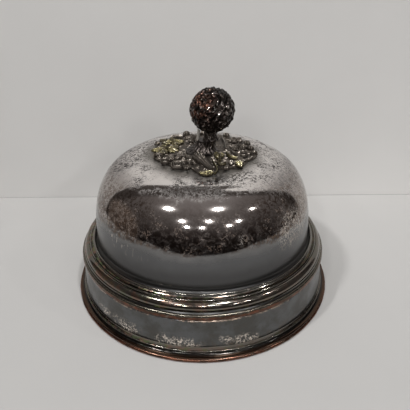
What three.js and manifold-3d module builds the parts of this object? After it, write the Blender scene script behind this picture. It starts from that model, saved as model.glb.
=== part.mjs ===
// Serving cloche: a domed dish cover in plated copper sheet, with soldered shoulder and foot
// mouldings, a wired rim, a cast foliate crown mount and a cast fruit finial.
// Units are millimetres, +Z is up. The origin is on the table, at the centre of the rim,
// and the front of the cover faces -Y.

import * as THREE from 'three';
import { mergeVertices } from 'three/addons/utils/BufferGeometryUtils.js';
import Module from 'manifold-3d';

const manifold = await Module();
manifold.setup();

// Sheet and joints
const SHEET = 1.2;
const SOLDER_GAP = 0.3;

// Rim: the bottom edge rolled over a wire
const RIM_HEIGHT = 3.8;
const RIM_WIDTH = 4.2;

// Skirt band
const SKIRT_HEIGHT = 38.3;
const SKIRT_FLARE = 2.5;
const SKIRT_TOP_CHAMFER = 0.4;

// Foot moulding, measured from the skirt band outwards
const FOOT_PROJECTION = 7.2;
const FOOT_HEIGHT = 9.4;
const FOOT_TOP_EDGE = 0.7;
const FOOT_LIP = 1.1;
const FOOT_LIP_INSET = 1.5;
const RIDGE_PROJECTION = 1.6;
const RIDGE_HEIGHT = 4.4;
const RIDGE_RADIUS = 0.55;

// Shoulder: a flange inside the skirt, a sloping seat for the mouldings and a small cove
const DOME_RADIUS = 113.5;
const SHOULDER_PROJECTION = 15.3;
const FLANGE_LAP = 7.5;
const SHOULDER_ROUND = 2.2;
const SLOPE_RISE = 12.1;
const COVE_RADIUS = 5.6;
const COVE_ANGLE = 55;

// Shoulder mouldings
const LOWER_BEAD_HEIGHT = 6.6;
const LOWER_BEAD_PROJECTION = 2.5;
const LOWER_BEAD_EDGE = 0.4;
const LOWER_BEAD_POWER = 0.8;
const TORUS_START = 2.3;
const TORUS_EDGE = 0.9;
const TORUS_RIDGE_AT = 5.9;
const TORUS_RIDGE_HEIGHT = 2.7;
const TORUS_GROOVE_AT = 7.0;
const TORUS_GROOVE_HEIGHT = 2.1;
const TORUS_PEAK = 4.4;
const TORUS_PEAK_AT = 8.7;
const TORUS_CREST = 3.5;
const TORUS_FALL = 2.8;
const TORUS_LENGTH = 14.2;
const TORUS_LOW_GROOVE = 1.4;
const TORUS_LOW_GROOVE_HEIGHT = 1.2;
const TORUS_LOW_RIDGE = 0.9;
const TORUS_LOW_RIDGE_HEIGHT = 1.7;
const TORUS_END_HEIGHT = 1.3;
const UPPER_BEAD_AT = 0.9;
const UPPER_BEAD_RADIUS = 1.0;

// Dome: wall and crown share one superellipse
const DOME_RISE = 82.2;
const WALL_POWER = 4.6;
const CROWN_POWER = 2.6;

// Handle stud and the fastening inside the cover
const STUD_RADIUS = 3.0;
const THREAD_DEPTH = 0.45;
const THREAD_PITCH = 1.6;
const STUD_DROP = 21;
const STUD_CLEARANCE = 0.4;
const WASHER_RADIUS = 15;
const WASHER_THICKNESS = 1.4;
const WASHER_DISH = 1.3;
const WASHER_FLAT_RADIUS = 9.2;
const WASHER_LIP = 1.1;
const NUT_RADIUS = 6.2;
const NUT_TOP_RADIUS = 5.1;
const NUT_HEIGHT = 7.5;
const WING_SPAN = 32;
const WING_HEIGHT = 12;
const WING_THICKNESS = 2.6;
const WING_TIP_RADIUS = 4.2;
const WING_ROOT = 2.5;
const WING_ROOT_TOP = 2.3;
const WING_ROOT_BOTTOM = 6.4;
const PIN_RADIUS = 1.5;
const PIN_LENGTH = 6.5;
const PIN_SOCKET = 1.0;
const PIN_SPACING = 44;

// Crown mount: a cast plate with nine lobes, drawn in at the front but for one lobe, and set a
// little to the right
const MOUNT_RADIUS = 57;
const PLATE_RADIUS = 53;
const PLATE_BORE = 9;
const PLATE_SHIFT = 3;
const PLATE_THICKNESS = 1.3;
const PLATE_EDGE = 0.7;
const PLATE_EDGE_POWER = 6;
const PLATE_LOBES = 9;
const PLATE_LOBE_DEPTH = 3.5;
const PLATE_TURN = 4;
const PLATE_FRONT_CUT = 10;
const FRONT_LOBE_REACH = 11;
const FRONT_LOBE_SPREAD = 0.22;
const PLATE_SWELL = 1.2;
const PLATE_SWELL_RADIUS = 34;

// Castings on the mount
const VINE_HALF_WIDTH = 6.5;
const VINE_END_HALF_WIDTH = 1.9;
const VINE_RISE = 7.2;
const VINE_END_RISE = 2.4;
const VINE_START_GAP = 3;
const VINE_TAPER_POWER = 1.2;
const VINE_RIB = 0.12;
const LEAF_HALF_WIDTH = 5;
const LEAF_RISE = 3.6;
const LEAF_ROOT_AT = 0.08;
const LEAF_POINT_AT = 0.96;
const LEAF_NOTCH = 0.22;
const LEAF_END_HEIGHT = 0.55;
const MIDRIB_DEPTH = 0.28;
const MIDRIB_WIDTH = 0.22;
const BACK_FALL = 0.58;
const CAST_TAPER = 0.28;
const BEAD_DEPTH = 0.28;
const VINE_LEAF_RISE = 4.2;
const VINE_LEAF_EDGE = 1.1;
const VINE_LEAF_NOTCH = 0.38;
const VINE_LEAF_VEIN = 0.3;
const VINE_LEAF_SECTION = [[0.97, VINE_LEAF_EDGE / VINE_LEAF_RISE], [0.62, 0.9], [0.25, 1], [0, 0.7]];
const STRAND_HALF_WIDTH = 1.05;
const STRAND_RISE = 2.4;
const SCROLL_HALF_WIDTH = 1.1;
const SCROLL_RISE = 2.6;
const RING_HALF_WIDTH = 1.1;
const RING_RISE = 2.8;
const BUD_RADIUS = 4.6;
const BUD_RISE = 4.6;
const BUD_NOTCH = 0.14;
const BUD_SECTION = [[1, 0.3], [0.8, 0.7], [0.4, 0.95]];

// Boss and stalk under the finial
const BOSS_RADIUS = 16.5;
const BOSS_FLANK_RADIUS = 12.6;
const BOSS_TOP_RADIUS = 11.2;
const BOSS_HEIGHT = 11.2;
const BOSS_FLANK_HEIGHT = 4.4;
const BOSS_EDGE = 0.8;
const BOSS_ROOF = 4.2;
const BOSS_FLUTES = 9;
const BOSS_FLUTE_DEPTH = 1;
const BOSS_LEAN = 5.2;
const STALK_RADIUS = 9.4;
const STALK_WAIST = 8.4;
const STALK_HEAD_RADIUS = 9.8;
const STALK_HEAD = 7.6;
const STALK_OFFSET = 2.2;
const STALK_LEAN = 1.6;
const TENDRIL_RADIUS = 1.5;
const TENDRIL_LEAN = 2.2;

// Finial: a knobbed fruit cast in two parts
const FINIAL_RADIUS = 21.6;
const FINIAL_KNOBS = 130;
const FINIAL_KNOB_HEIGHT = 1.3;
const FINIAL_KNOB_WIDTH = 0.62;
const FINIAL_OFFSET = 10.2;
const FINIAL_NECK = 8.8;
const SEAM_DISTANCE = 8.4;
const SEAM_STEP = 0.5;

// Smoothness of the turned and cast shapes
const RING_SEGMENTS = 48;
const SMALL_SEGMENTS = 20;
const WASHER_SEGMENTS = 30;
const ARC_STEPS = 3;

// Levels and radii that follow from the sizes above

const flangeRadius = DOME_RADIUS + SHOULDER_PROJECTION;
const skirtTopRadius = flangeRadius + SOLDER_GAP + SHEET;
const skirtBottomRadius = skirtTopRadius + SKIRT_FLARE;
const rimRadius = skirtBottomRadius + FOOT_PROJECTION;
const skirtBottom = RIM_HEIGHT + SOLDER_GAP;
const skirtTop = skirtBottom + SKIRT_HEIGHT;
const lowerBeadBottom = skirtTop + SOLDER_GAP;
const lowerBeadTop = lowerBeadBottom + LOWER_BEAD_HEIGHT;

const coveAngle = THREE.MathUtils.degToRad(COVE_ANGLE);
const slopeFoot = new THREE.Vector2(flangeRadius, lowerBeadTop);
const slopeHead = new THREE.Vector2(
  DOME_RADIUS + COVE_RADIUS * (1 - Math.cos(coveAngle)),
  slopeFoot.y + SLOPE_RISE,
);
const wallBase = slopeHead.y + COVE_RADIUS * Math.sin(coveAngle);
const crownTop = wallBase + DOME_RISE;

// Solids and geometry helpers

function weld(geometry) {
  const bare = geometry.clone();
  bare.deleteAttribute('normal');
  bare.deleteAttribute('uv');
  const welded = mergeVertices(bare, 1e-4);
  const corners = welded.index.array;
  const kept = [];
  for (let i = 0; i < corners.length; i += 3) {
    const [a, b, c] = [corners[i], corners[i + 1], corners[i + 2]];
    if (a !== b && b !== c && c !== a) kept.push(a, b, c);
  }
  welded.setIndex(kept);
  return welded;
}

function toSolid(geometry) {
  const welded = weld(geometry);
  return new manifold.Manifold(new manifold.Mesh({
    numProp: 3,
    vertProperties: new Float32Array(welded.attributes.position.array),
    triVerts: new Uint32Array(welded.index.array),
  }));
}

function toGeometry(solid) {
  const mesh = solid.getMesh();
  const geometry = new THREE.BufferGeometry();
  geometry.setAttribute('position', new THREE.BufferAttribute(mesh.vertProperties, 3));
  geometry.setIndex(new THREE.BufferAttribute(mesh.triVerts, 1));
  return geometry;
}

// Moves every vertex by a rule that takes and changes a Vector3.
function shapeVertices(geometry, rule) {
  const position = geometry.attributes.position;
  const vertex = new THREE.Vector3();
  for (let i = 0; i < position.count; i += 1) {
    vertex.fromBufferAttribute(position, i);
    rule(vertex);
    position.setXYZ(i, vertex.x, vertex.y, vertex.z);
  }
  return geometry;
}

// Turns a section about Z. Its points are (radius, height), from axis to axis or all round.
function turn(section, segments = RING_SEGMENTS) {
  const points = THREE.ShapeUtils.area(section) < 0 ? [...section].reverse() : [...section];
  const onAxis = points[0].x === 0 && points[points.length - 1].x === 0;
  if (!onAxis) points.push(points[0].clone());
  return new THREE.LatheGeometry(points, segments).rotateX(Math.PI / 2);
}

// Points spaced evenly along a dense line, with its ends kept.
function evenPoints(line, count) {
  const lengths = [0];
  for (let i = 1; i < line.length; i += 1) {
    lengths.push(lengths[i - 1] + line[i].distanceTo(line[i - 1]));
  }
  const total = lengths[lengths.length - 1];
  const result = [];
  let at = 0;
  for (let k = 0; k <= count; k += 1) {
    const target = (total * k) / count;
    while (at < line.length - 2 && lengths[at + 1] < target) at += 1;
    const share = (target - lengths[at]) / (lengths[at + 1] - lengths[at]);
    result.push(line[at].clone().lerp(line[at + 1], share));
  }
  return result;
}

// The line at one distance to the side of another, positive to the left of its direction.
function offsetLine(line, distance) {
  return line.map((point, i) => {
    const before = line[Math.max(i - 1, 0)];
    const after = line[Math.min(i + 1, line.length - 1)];
    const along = after.clone().sub(before).normalize();
    return new THREE.Vector2(point.x - along.y * distance, point.y + along.x * distance);
  });
}

function arc(centreR, centreZ, radius, fromDegrees, toDegrees, steps = ARC_STEPS) {
  const points = [];
  for (let k = 0; k <= steps; k += 1) {
    const angle = THREE.MathUtils.degToRad(fromDegrees + ((toDegrees - fromDegrees) * k) / steps);
    points.push(new THREE.Vector2(centreR + radius * Math.cos(angle), centreZ + radius * Math.sin(angle)));
  }
  return points;
}

const cloche = new THREE.Group();
cloche.name = 'serving_cloche';

function add(name, geometry, material, parent = cloche) {
  const welded = weld(geometry);
  welded.computeVertexNormals();
  const mesh = new THREE.Mesh(welded, material);
  mesh.name = name;
  parent.add(mesh);
  return mesh;
}

function metal(color, roughness, metalness = 1) {
  return new THREE.MeshStandardMaterial({ color, roughness, metalness });
}

const wornSilver = metal(0x9a9893, 0.22);
const dullSilver = metal(0x7d7a74, 0.34);
const bareCopper = metal(0x80553a, 0.36);
const greenedSilver = metal(0x6f6b5a, 0.38);
const castDark = metal(0x3b342d, 0.42);
const castBrassy = metal(0x8a7740, 0.36);
const castFruit = metal(0x33291f, 0.38);
const brass = metal(0xa08a52, 0.35);

// Dome: hollow sheet from the flange, over the slope and cove, up to the crown hole

const boreRadius = STUD_RADIUS + STUD_CLEARANCE;

function crownHeight(radius) {
  const spread = Math.min(radius / DOME_RADIUS, 1) ** WALL_POWER;
  return wallBase + DOME_RISE * (1 - spread) ** (1 / CROWN_POWER);
}

function domeLine() {
  const line = [];
  const steps = 240;
  for (let k = 0; k <= steps; k += 1) {
    const turnAngle = (Math.PI / 2) * (k / steps);
    const radius = DOME_RADIUS * Math.cos(turnAngle) ** (2 / WALL_POWER);
    if (radius < boreRadius) break;
    line.push(new THREE.Vector2(radius, crownHeight(radius)));
  }
  line.push(new THREE.Vector2(boreRadius, crownHeight(boreRadius)));
  return evenPoints(line, 11);
}

const slopeAngle = THREE.MathUtils.radToDeg(
  Math.atan2(slopeHead.y - slopeFoot.y, slopeHead.x - slopeFoot.x),
);
const shoulderLine = [
  new THREE.Vector2(flangeRadius, skirtTop - FLANGE_LAP),
  ...arc(flangeRadius - SHOULDER_ROUND, lowerBeadTop - SHOULDER_ROUND, SHOULDER_ROUND,
    0, slopeAngle - 90, 2),
  ...arc(DOME_RADIUS + COVE_RADIUS, wallBase, COVE_RADIUS, 180 + COVE_ANGLE, 180, ARC_STEPS),
];
const domeOuter = [...shoulderLine, ...domeLine().slice(1)];
const domeInner = offsetLine(domeOuter, SHEET);
const domeSheet = toSolid(turn([...domeOuter, ...domeInner.reverse()]));

function cylinder(radius, height, x, y, bottom, segments = SMALL_SEGMENTS) {
  return new THREE.CylinderGeometry(radius, radius, height, segments)
    .rotateX(Math.PI / 2)
    .translate(x, y, bottom + height / 2);
}

const pinPlaces = [-1, 1].map((side) => new THREE.Vector2((side * PIN_SPACING) / 2, 0));
const pinHoles = pinPlaces.map((place) => toSolid(
  cylinder(PIN_RADIUS + SOLDER_GAP, PIN_LENGTH * 4, place.x, place.y, crownTop - PIN_LENGTH * 2),
));
const drilledDome = pinHoles.reduce((solid, hole) => solid.subtract(hole), domeSheet);
add('dome_shell', toGeometry(drilledDome), wornSilver);

// Skirt band: a tapered hoop that laps over the dome's flange

function skirtRadiusAt(height) {
  const share = (skirtTop - height) / SKIRT_HEIGHT;
  return skirtTopRadius + SKIRT_FLARE * share;
}

const skirtSection = [
  new THREE.Vector2(skirtBottomRadius, skirtBottom),
  new THREE.Vector2(skirtRadiusAt(skirtTop - SKIRT_TOP_CHAMFER), skirtTop - SKIRT_TOP_CHAMFER),
  new THREE.Vector2(skirtTopRadius - SKIRT_TOP_CHAMFER, skirtTop),
  new THREE.Vector2(skirtTopRadius - SHEET, skirtTop),
  new THREE.Vector2(skirtTopRadius - SHEET, skirtTop - FLANGE_LAP),
  new THREE.Vector2(skirtBottomRadius - SHEET, skirtBottom),
];
add('skirt_band', turn(skirtSection), dullSilver);

// Foot moulding: cove, sharp ridge and cavetto running out to the rim

const footBottom = skirtBottom;
const footTop = footBottom + FOOT_HEIGHT;
const ridgeHeight = footBottom + RIDGE_HEIGHT;
const ridgeCentre = skirtRadiusAt(ridgeHeight) + RIDGE_PROJECTION - RIDGE_RADIUS;
const lipRadius = rimRadius - FOOT_LIP_INSET;
const cavetto = new THREE.QuadraticBezierCurve(
  new THREE.Vector2(lipRadius, footBottom + FOOT_LIP),
  new THREE.Vector2(ridgeCentre + RIDGE_RADIUS, footBottom + FOOT_LIP),
  new THREE.Vector2(ridgeCentre, ridgeHeight - RIDGE_RADIUS),
);
const footCove = new THREE.QuadraticBezierCurve(
  new THREE.Vector2(ridgeCentre, ridgeHeight + RIDGE_RADIUS),
  new THREE.Vector2(skirtRadiusAt(ridgeHeight) + FOOT_TOP_EDGE, ridgeHeight + RIDGE_RADIUS),
  new THREE.Vector2(skirtRadiusAt(footTop) + SOLDER_GAP + FOOT_TOP_EDGE, footTop),
);
const footSection = [
  new THREE.Vector2(skirtBottomRadius + SOLDER_GAP, footBottom),
  new THREE.Vector2(lipRadius, footBottom),
  ...cavetto.getPoints(4),
  ...arc(ridgeCentre, ridgeHeight, RIDGE_RADIUS, -45, 45, 1),
  ...footCove.getPoints(2),
  new THREE.Vector2(skirtRadiusAt(footTop) + SOLDER_GAP, footTop),
];
add('foot_moulding', turn(footSection), greenedSilver);

// Rim: rolled edge, its lowest facet the flat that the cover rests on

const rimCentre = rimRadius - RIM_WIDTH / 2;
const rimSection = [];
const rimSteps = 8;
for (let k = 0; k < rimSteps; k += 1) {
  const angle = (2 * Math.PI * (k + 0.5)) / rimSteps - Math.PI / 2;
  const across = (Math.cos(angle) * RIM_WIDTH) / 2 / Math.cos(Math.PI / rimSteps);
  const up = (Math.sin(angle) * RIM_HEIGHT) / 2 / Math.cos(Math.PI / rimSteps);
  rimSection.push(new THREE.Vector2(rimCentre + across, RIM_HEIGHT / 2 + up));
}
add('rim_wire', turn(rimSection), bareCopper);

// Shoulder mouldings, laid out along the slope of the shoulder

const downSlope = slopeFoot.clone().sub(slopeHead).normalize();
const offSlope = new THREE.Vector2(-downSlope.y, downSlope.x);

function onSlope(along, off) {
  return slopeHead.clone().addScaledVector(downSlope, along).addScaledVector(offSlope, off);
}

const upperBeadCentre = onSlope(UPPER_BEAD_AT, SOLDER_GAP + UPPER_BEAD_RADIUS);
add('shoulder_bead', turn(
  arc(upperBeadCentre.x, upperBeadCentre.y, UPPER_BEAD_RADIUS, 0, 300, 5),
), dullSilver);

const torusEnd = TORUS_START + TORUS_LENGTH;
const torusCove = new THREE.QuadraticBezierCurve(
  onSlope(TORUS_START, SOLDER_GAP + TORUS_EDGE),
  onSlope((TORUS_START + TORUS_RIDGE_AT) / 2 + TORUS_EDGE, SOLDER_GAP + TORUS_EDGE),
  onSlope(TORUS_RIDGE_AT - TORUS_EDGE / 2, SOLDER_GAP + TORUS_RIDGE_HEIGHT),
);
const torusSwell = new THREE.CubicBezierCurve(
  onSlope(TORUS_GROOVE_AT, SOLDER_GAP + TORUS_GROOVE_HEIGHT),
  onSlope(TORUS_PEAK_AT, SOLDER_GAP + TORUS_PEAK),
  onSlope(torusEnd - TORUS_FALL, SOLDER_GAP + TORUS_CREST),
  onSlope(torusEnd - TORUS_LOW_GROOVE, SOLDER_GAP + TORUS_LOW_GROOVE_HEIGHT),
);
const torusSection = [
  onSlope(TORUS_START, SOLDER_GAP),
  ...torusCove.getPoints(3),
  onSlope(TORUS_RIDGE_AT + TORUS_EDGE / 2, SOLDER_GAP + TORUS_RIDGE_HEIGHT),
  ...torusSwell.getPoints(4),
  onSlope(torusEnd - TORUS_LOW_RIDGE, SOLDER_GAP + TORUS_LOW_RIDGE_HEIGHT),
  onSlope(torusEnd, SOLDER_GAP + TORUS_END_HEIGHT),
  onSlope(torusEnd, SOLDER_GAP),
];
add('shoulder_torus', turn(torusSection), greenedSilver);

const lowerBeadBack = flangeRadius + SOLDER_GAP;
const lowerBeadSection = [new THREE.Vector2(lowerBeadBack, lowerBeadBottom)];
const lowerBeadSteps = 5;
for (let k = 0; k <= lowerBeadSteps; k += 1) {
  const angle = Math.PI * (k / lowerBeadSteps) - Math.PI / 2;
  const outwards = LOWER_BEAD_EDGE
    + (LOWER_BEAD_PROJECTION - LOWER_BEAD_EDGE) * Math.cos(angle) ** LOWER_BEAD_POWER;
  lowerBeadSection.push(new THREE.Vector2(
    lowerBeadBack + (k === 0 || k === lowerBeadSteps ? LOWER_BEAD_EDGE : outwards),
    lowerBeadBottom + (LOWER_BEAD_HEIGHT * (1 + Math.sin(angle))) / 2,
  ));
}
lowerBeadSection.push(new THREE.Vector2(lowerBeadBack, lowerBeadTop));
add('lower_bead', turn(lowerBeadSection), bareCopper);

// Crown mount: lobed plate that follows the crown, with a swelling in the middle

function crownAt(x, y) {
  return crownHeight(Math.hypot(x, y));
}

// How far the plate's edge lies inside its radius, in the direction of x and y.
function edgeInset(x, y) {
  const angle = Math.atan2(y, x);
  const fromFront = angle + Math.PI / 2 - THREE.MathUtils.degToRad(PLATE_TURN);
  const notch = PLATE_LOBE_DEPTH * (1 - Math.abs(Math.cos((PLATE_LOBES * fromFront) / 2)));
  const cut = PLATE_FRONT_CUT * Math.max(-Math.sin(angle), 0) ** 2;
  const frontLobe = FRONT_LOBE_REACH * Math.exp(-((fromFront / FRONT_LOBE_SPREAD) ** 2));
  return notch + cut - frontLobe - PLATE_SHIFT * Math.cos(angle);
}

function plateTop(x, y) {
  const radius = Math.hypot(x, y);
  const swell = PLATE_SWELL * Math.exp(-((radius / PLATE_SWELL_RADIUS) ** 2));
  const rounded = Math.min(radius / PLATE_RADIUS, 1) ** PLATE_EDGE_POWER;
  const thickness = PLATE_THICKNESS + (PLATE_EDGE - PLATE_THICKNESS) * rounded;
  return crownAt(x, y) + SOLDER_GAP + thickness + swell;
}

const plateRings = 5;
const plateSection = [];
for (let k = 0; k <= plateRings; k += 1) {
  plateSection.push(new THREE.Vector2(PLATE_BORE + ((PLATE_RADIUS - PLATE_BORE) * k) / plateRings, 0));
}
plateSection.push(...[...plateSection].reverse().map((point) => new THREE.Vector2(point.x, 1)));
const plateSolid = toSolid(shapeVertices(turn(plateSection, PLATE_LOBES * 6), (vertex) => {
  const radius = Math.hypot(vertex.x, vertex.y);
  const reach = (radius - PLATE_BORE) / (PLATE_RADIUS - PLATE_BORE);
  const pull = 1 - (edgeInset(vertex.x, vertex.y) / PLATE_RADIUS) * reach ** 2;
  vertex.x *= pull;
  vertex.y *= pull;
  const underside = crownAt(vertex.x, vertex.y) + SOLDER_GAP;
  vertex.z = vertex.z > 0.5 ? plateTop(vertex.x, vertex.y) : underside;
}));
const pinSockets = pinPlaces.map((place) => toSolid(cylinder(
  PIN_RADIUS + SOLDER_GAP, PIN_LENGTH, place.x, place.y,
  crownAt(place.x, place.y) + SOLDER_GAP + PIN_SOCKET - PIN_LENGTH, 12,
)));
const socketedPlate = pinSockets.reduce((solid, socket) => solid.subtract(socket), plateSolid);
add('mount_plate', toGeometry(socketedPlate), castDark);

pinPlaces.forEach((place, side) => {
  const top = crownAt(place.x, place.y) + PIN_SOCKET;
  add(side === 0 ? 'pin_left' : 'pin_right',
    cylinder(PIN_RADIUS, PIN_LENGTH, place.x, place.y, top - PIN_LENGTH, 12), brass);
});

// Boss: fluted casting over the stud, carrying the stalk

const bossBottom = plateTop(PLATE_BORE, 0) + SOLDER_GAP;
const bossTop = bossBottom + BOSS_HEIGHT;
const socketTop = bossTop - BOSS_ROOF;
const bossSection = [
  new THREE.Vector2(0, socketTop + SOLDER_GAP),
  new THREE.Vector2(boreRadius, socketTop + SOLDER_GAP),
  new THREE.Vector2(boreRadius, bossBottom),
  new THREE.Vector2(BOSS_RADIUS - BOSS_EDGE, bossBottom),
  new THREE.Vector2(BOSS_RADIUS, bossBottom + BOSS_EDGE),
  new THREE.Vector2(BOSS_FLANK_RADIUS, bossBottom + BOSS_FLANK_HEIGHT),
  new THREE.Vector2(BOSS_TOP_RADIUS, bossTop - BOSS_EDGE),
  new THREE.Vector2(BOSS_TOP_RADIUS - BOSS_EDGE, bossTop),
  new THREE.Vector2(0, bossTop),
];
add('stalk_boss', shapeVertices(turn(bossSection, BOSS_FLUTES * 4), (vertex) => {
  const radius = Math.hypot(vertex.x, vertex.y);
  if (radius > boreRadius + SOLDER_GAP) {
    const flute = (BOSS_FLUTE_DEPTH * (1 - Math.cos(BOSS_FLUTES * Math.atan2(vertex.y, vertex.x)))) / 2;
    vertex.x *= 1 - flute / radius;
    vertex.y *= 1 - flute / radius;
  }
  if (radius > boreRadius + SOLDER_GAP || vertex.z > bossTop - SOLDER_GAP) {
    vertex.x += (BOSS_LEAN * (vertex.z - bossBottom)) / BOSS_HEIGHT;
  }
}), castDark);

// Finial: knobbed ball, seamed along a leaning plane

const finialCentre = new THREE.Vector3(FINIAL_OFFSET, 0, bossTop + FINIAL_NECK + FINIAL_RADIUS);
const goldenTurn = Math.PI * (3 - Math.sqrt(5));
const knobs = Array.from({ length: FINIAL_KNOBS }, (_, k) => {
  const height = 1 - (2 * (k + 0.5)) / FINIAL_KNOBS;
  const reach = Math.sqrt(1 - height * height);
  const angle = k * goldenTurn;
  return new THREE.Vector3(reach * Math.cos(angle), reach * Math.sin(angle), height);
});
const knobSpread = Math.sqrt((4 * Math.PI) / FINIAL_KNOBS);

function knobbedRadius(direction) {
  const nearest = knobs.reduce((least, knob) => Math.min(least, knob.angleTo(direction)), Math.PI);
  const share = Math.min(nearest / (knobSpread * FINIAL_KNOB_WIDTH), 1);
  return FINIAL_RADIUS + FINIAL_KNOB_HEIGHT * (1 - share ** 2);
}

function fruit(extra) {
  return shapeVertices(new THREE.IcosahedronGeometry(1, 9), (vertex) => {
    vertex.normalize();
    vertex.multiplyScalar(knobbedRadius(vertex) + extra);
  }).translate(finialCentre.x, finialCentre.y, finialCentre.z);
}

// The seam plane faces left, up and a little forwards; the cap lies on that side of it.
const seamNormal = new THREE.Vector3(-0.64, -0.23, 0.73).normalize();

function halfSpace(side) {
  const size = FINIAL_RADIUS * 4;
  const shift = SEAM_DISTANCE + side * (size / 2 + SOLDER_GAP / 2);
  const facing = new THREE.Quaternion().setFromUnitVectors(new THREE.Vector3(0, 0, 1), seamNormal);
  const centre = finialCentre.clone().addScaledVector(seamNormal, shift);
  return toSolid(new THREE.BoxGeometry(size, size, size)
    .applyQuaternion(facing)
    .translate(centre.x, centre.y, centre.z));
}

const finialBody = toSolid(fruit(SEAM_STEP)).intersect(halfSpace(-1));
const finialCap = toSolid(fruit(0)).intersect(halfSpace(1));
add('finial_body', toGeometry(finialBody), castFruit);
add('finial_cap', toGeometry(finialCap), castFruit);

// Stalk and tendril between the boss and the finial

const fruitClear = toSolid(new THREE.IcosahedronGeometry(
  FINIAL_RADIUS + FINIAL_KNOB_HEIGHT + SEAM_STEP + SOLDER_GAP * 2, 9,
).translate(finialCentre.x, finialCentre.y, finialCentre.z));

const stalkFoot = new THREE.Vector3(BOSS_LEAN + STALK_OFFSET, 0, bossTop + SOLDER_GAP);
const stalkHeight = FINIAL_NECK + STALK_HEAD;
const stalkSection = [
  new THREE.Vector2(0, 0),
  new THREE.Vector2(STALK_RADIUS, 0),
  new THREE.Vector2(STALK_WAIST, FINIAL_NECK / 2),
  new THREE.Vector2(STALK_RADIUS, FINIAL_NECK),
  new THREE.Vector2(STALK_HEAD_RADIUS, stalkHeight),
  new THREE.Vector2(0, stalkHeight),
];
const stalkSolid = toSolid(shapeVertices(turn(stalkSection, SMALL_SEGMENTS), (vertex) => {
  vertex.x += stalkFoot.x + (STALK_LEAN * vertex.z) / stalkHeight;
  vertex.z += stalkFoot.z;
})).subtract(fruitClear);
add('stalk', toGeometry(stalkSolid), castDark);

const tendrilFoot = new THREE.Vector3(
  stalkFoot.x - STALK_RADIUS - SOLDER_GAP * 2 - TENDRIL_RADIUS, 0, bossTop + SOLDER_GAP,
);
const tendrilSolid = toSolid(shapeVertices(
  cylinder(TENDRIL_RADIUS, stalkHeight, 0, 0, 0, 10),
  (vertex) => {
    vertex.x += tendrilFoot.x + TENDRIL_LEAN * (vertex.z / stalkHeight) ** 2;
    vertex.y += tendrilFoot.y;
    vertex.z += tendrilFoot.z;
  },
)).subtract(fruitClear);
add('tendril', toGeometry(tendrilSolid), wornSilver);

// Stud, cupped washer and wing nut

const crownUnderside = crownTop - SHEET;
const studBottom = crownUnderside - STUD_DROP;
const studTop = socketTop;
const threadTop = crownUnderside - WASHER_THICKNESS - WASHER_DISH;
const threadTurns = Math.floor((threadTop - studBottom) / THREAD_PITCH);
const studSection = [new THREE.Vector2(0, studBottom)];
for (let k = 0; k < threadTurns; k += 1) {
  const rootHeight = studBottom + k * THREAD_PITCH;
  studSection.push(new THREE.Vector2(STUD_RADIUS - THREAD_DEPTH, rootHeight));
  studSection.push(new THREE.Vector2(STUD_RADIUS, rootHeight + THREAD_PITCH / 2));
}
studSection.push(new THREE.Vector2(STUD_RADIUS - THREAD_DEPTH, studBottom + threadTurns * THREAD_PITCH));
studSection.push(new THREE.Vector2(STUD_RADIUS, studBottom + (threadTurns + 0.5) * THREAD_PITCH));
studSection.push(new THREE.Vector2(STUD_RADIUS, studTop));
studSection.push(new THREE.Vector2(0, studTop));
add('stud', turn(studSection, 10), brass);

const fastening = new THREE.Group();
fastening.position.z = crownUnderside - SOLDER_GAP;
cloche.add(fastening);

const washerSection = [
  new THREE.Vector2(boreRadius, -WASHER_DISH - WASHER_THICKNESS),
  new THREE.Vector2(WASHER_FLAT_RADIUS, -WASHER_DISH - WASHER_THICKNESS),
  new THREE.Vector2(WASHER_RADIUS, -WASHER_LIP),
  new THREE.Vector2(WASHER_RADIUS, -sagAt(WASHER_RADIUS)),
  new THREE.Vector2(WASHER_RADIUS - WASHER_LIP, -sagAt(WASHER_RADIUS)),
  new THREE.Vector2(WASHER_FLAT_RADIUS, -WASHER_DISH),
  new THREE.Vector2(boreRadius, -WASHER_DISH),
];
add('cup_washer', turn(washerSection, WASHER_SEGMENTS), brass, fastening);

// How far the crown has fallen away from its top at one radius.
function sagAt(radius) {
  return crownTop - crownHeight(radius);
}

const nutTop = -WASHER_DISH - WASHER_THICKNESS - SOLDER_GAP;
const hub = toSolid(new THREE.CylinderGeometry(NUT_TOP_RADIUS, NUT_RADIUS, NUT_HEIGHT, SMALL_SEGMENTS)
  .rotateX(Math.PI / 2)
  .rotateX(Math.PI)
  .translate(0, 0, nutTop - NUT_HEIGHT / 2));
const wingShape = new THREE.Shape();
wingShape.moveTo(WING_ROOT, -WING_ROOT_BOTTOM);
wingShape.lineTo(WING_ROOT, -WING_ROOT_TOP);
wingShape.lineTo(WING_SPAN / 2 - WING_TIP_RADIUS, -WING_ROOT_TOP - SOLDER_GAP);
wingShape.absarc(WING_SPAN / 2 - WING_TIP_RADIUS, -WING_HEIGHT + WING_TIP_RADIUS,
  WING_TIP_RADIUS, Math.PI / 2, -Math.PI / 2, true);
const wings = [0, Math.PI].map((spin) => toSolid(new THREE.ExtrudeGeometry(wingShape, {
  depth: WING_THICKNESS, bevelEnabled: false, curveSegments: 8,
})
  .translate(0, 0, -WING_THICKNESS / 2)
  .rotateX(Math.PI / 2)
  .rotateZ(spin)
  .translate(0, 0, nutTop)));
const nutBore = toSolid(cylinder(boreRadius, NUT_HEIGHT * 3, 0, 0, nutTop - NUT_HEIGHT * 2));
add('wing_nut', toGeometry(wings.reduce((solid, wing) => solid.add(wing), hub).subtract(nutBore)),
  brass, fastening);

// Applied castings: shapes raised along a line on the plate, seated a solder gap above it

const up = new THREE.Vector3(0, 0, 1);

function seatAt(x, y) {
  return plateTop(x, y) + SOLDER_GAP;
}

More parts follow.
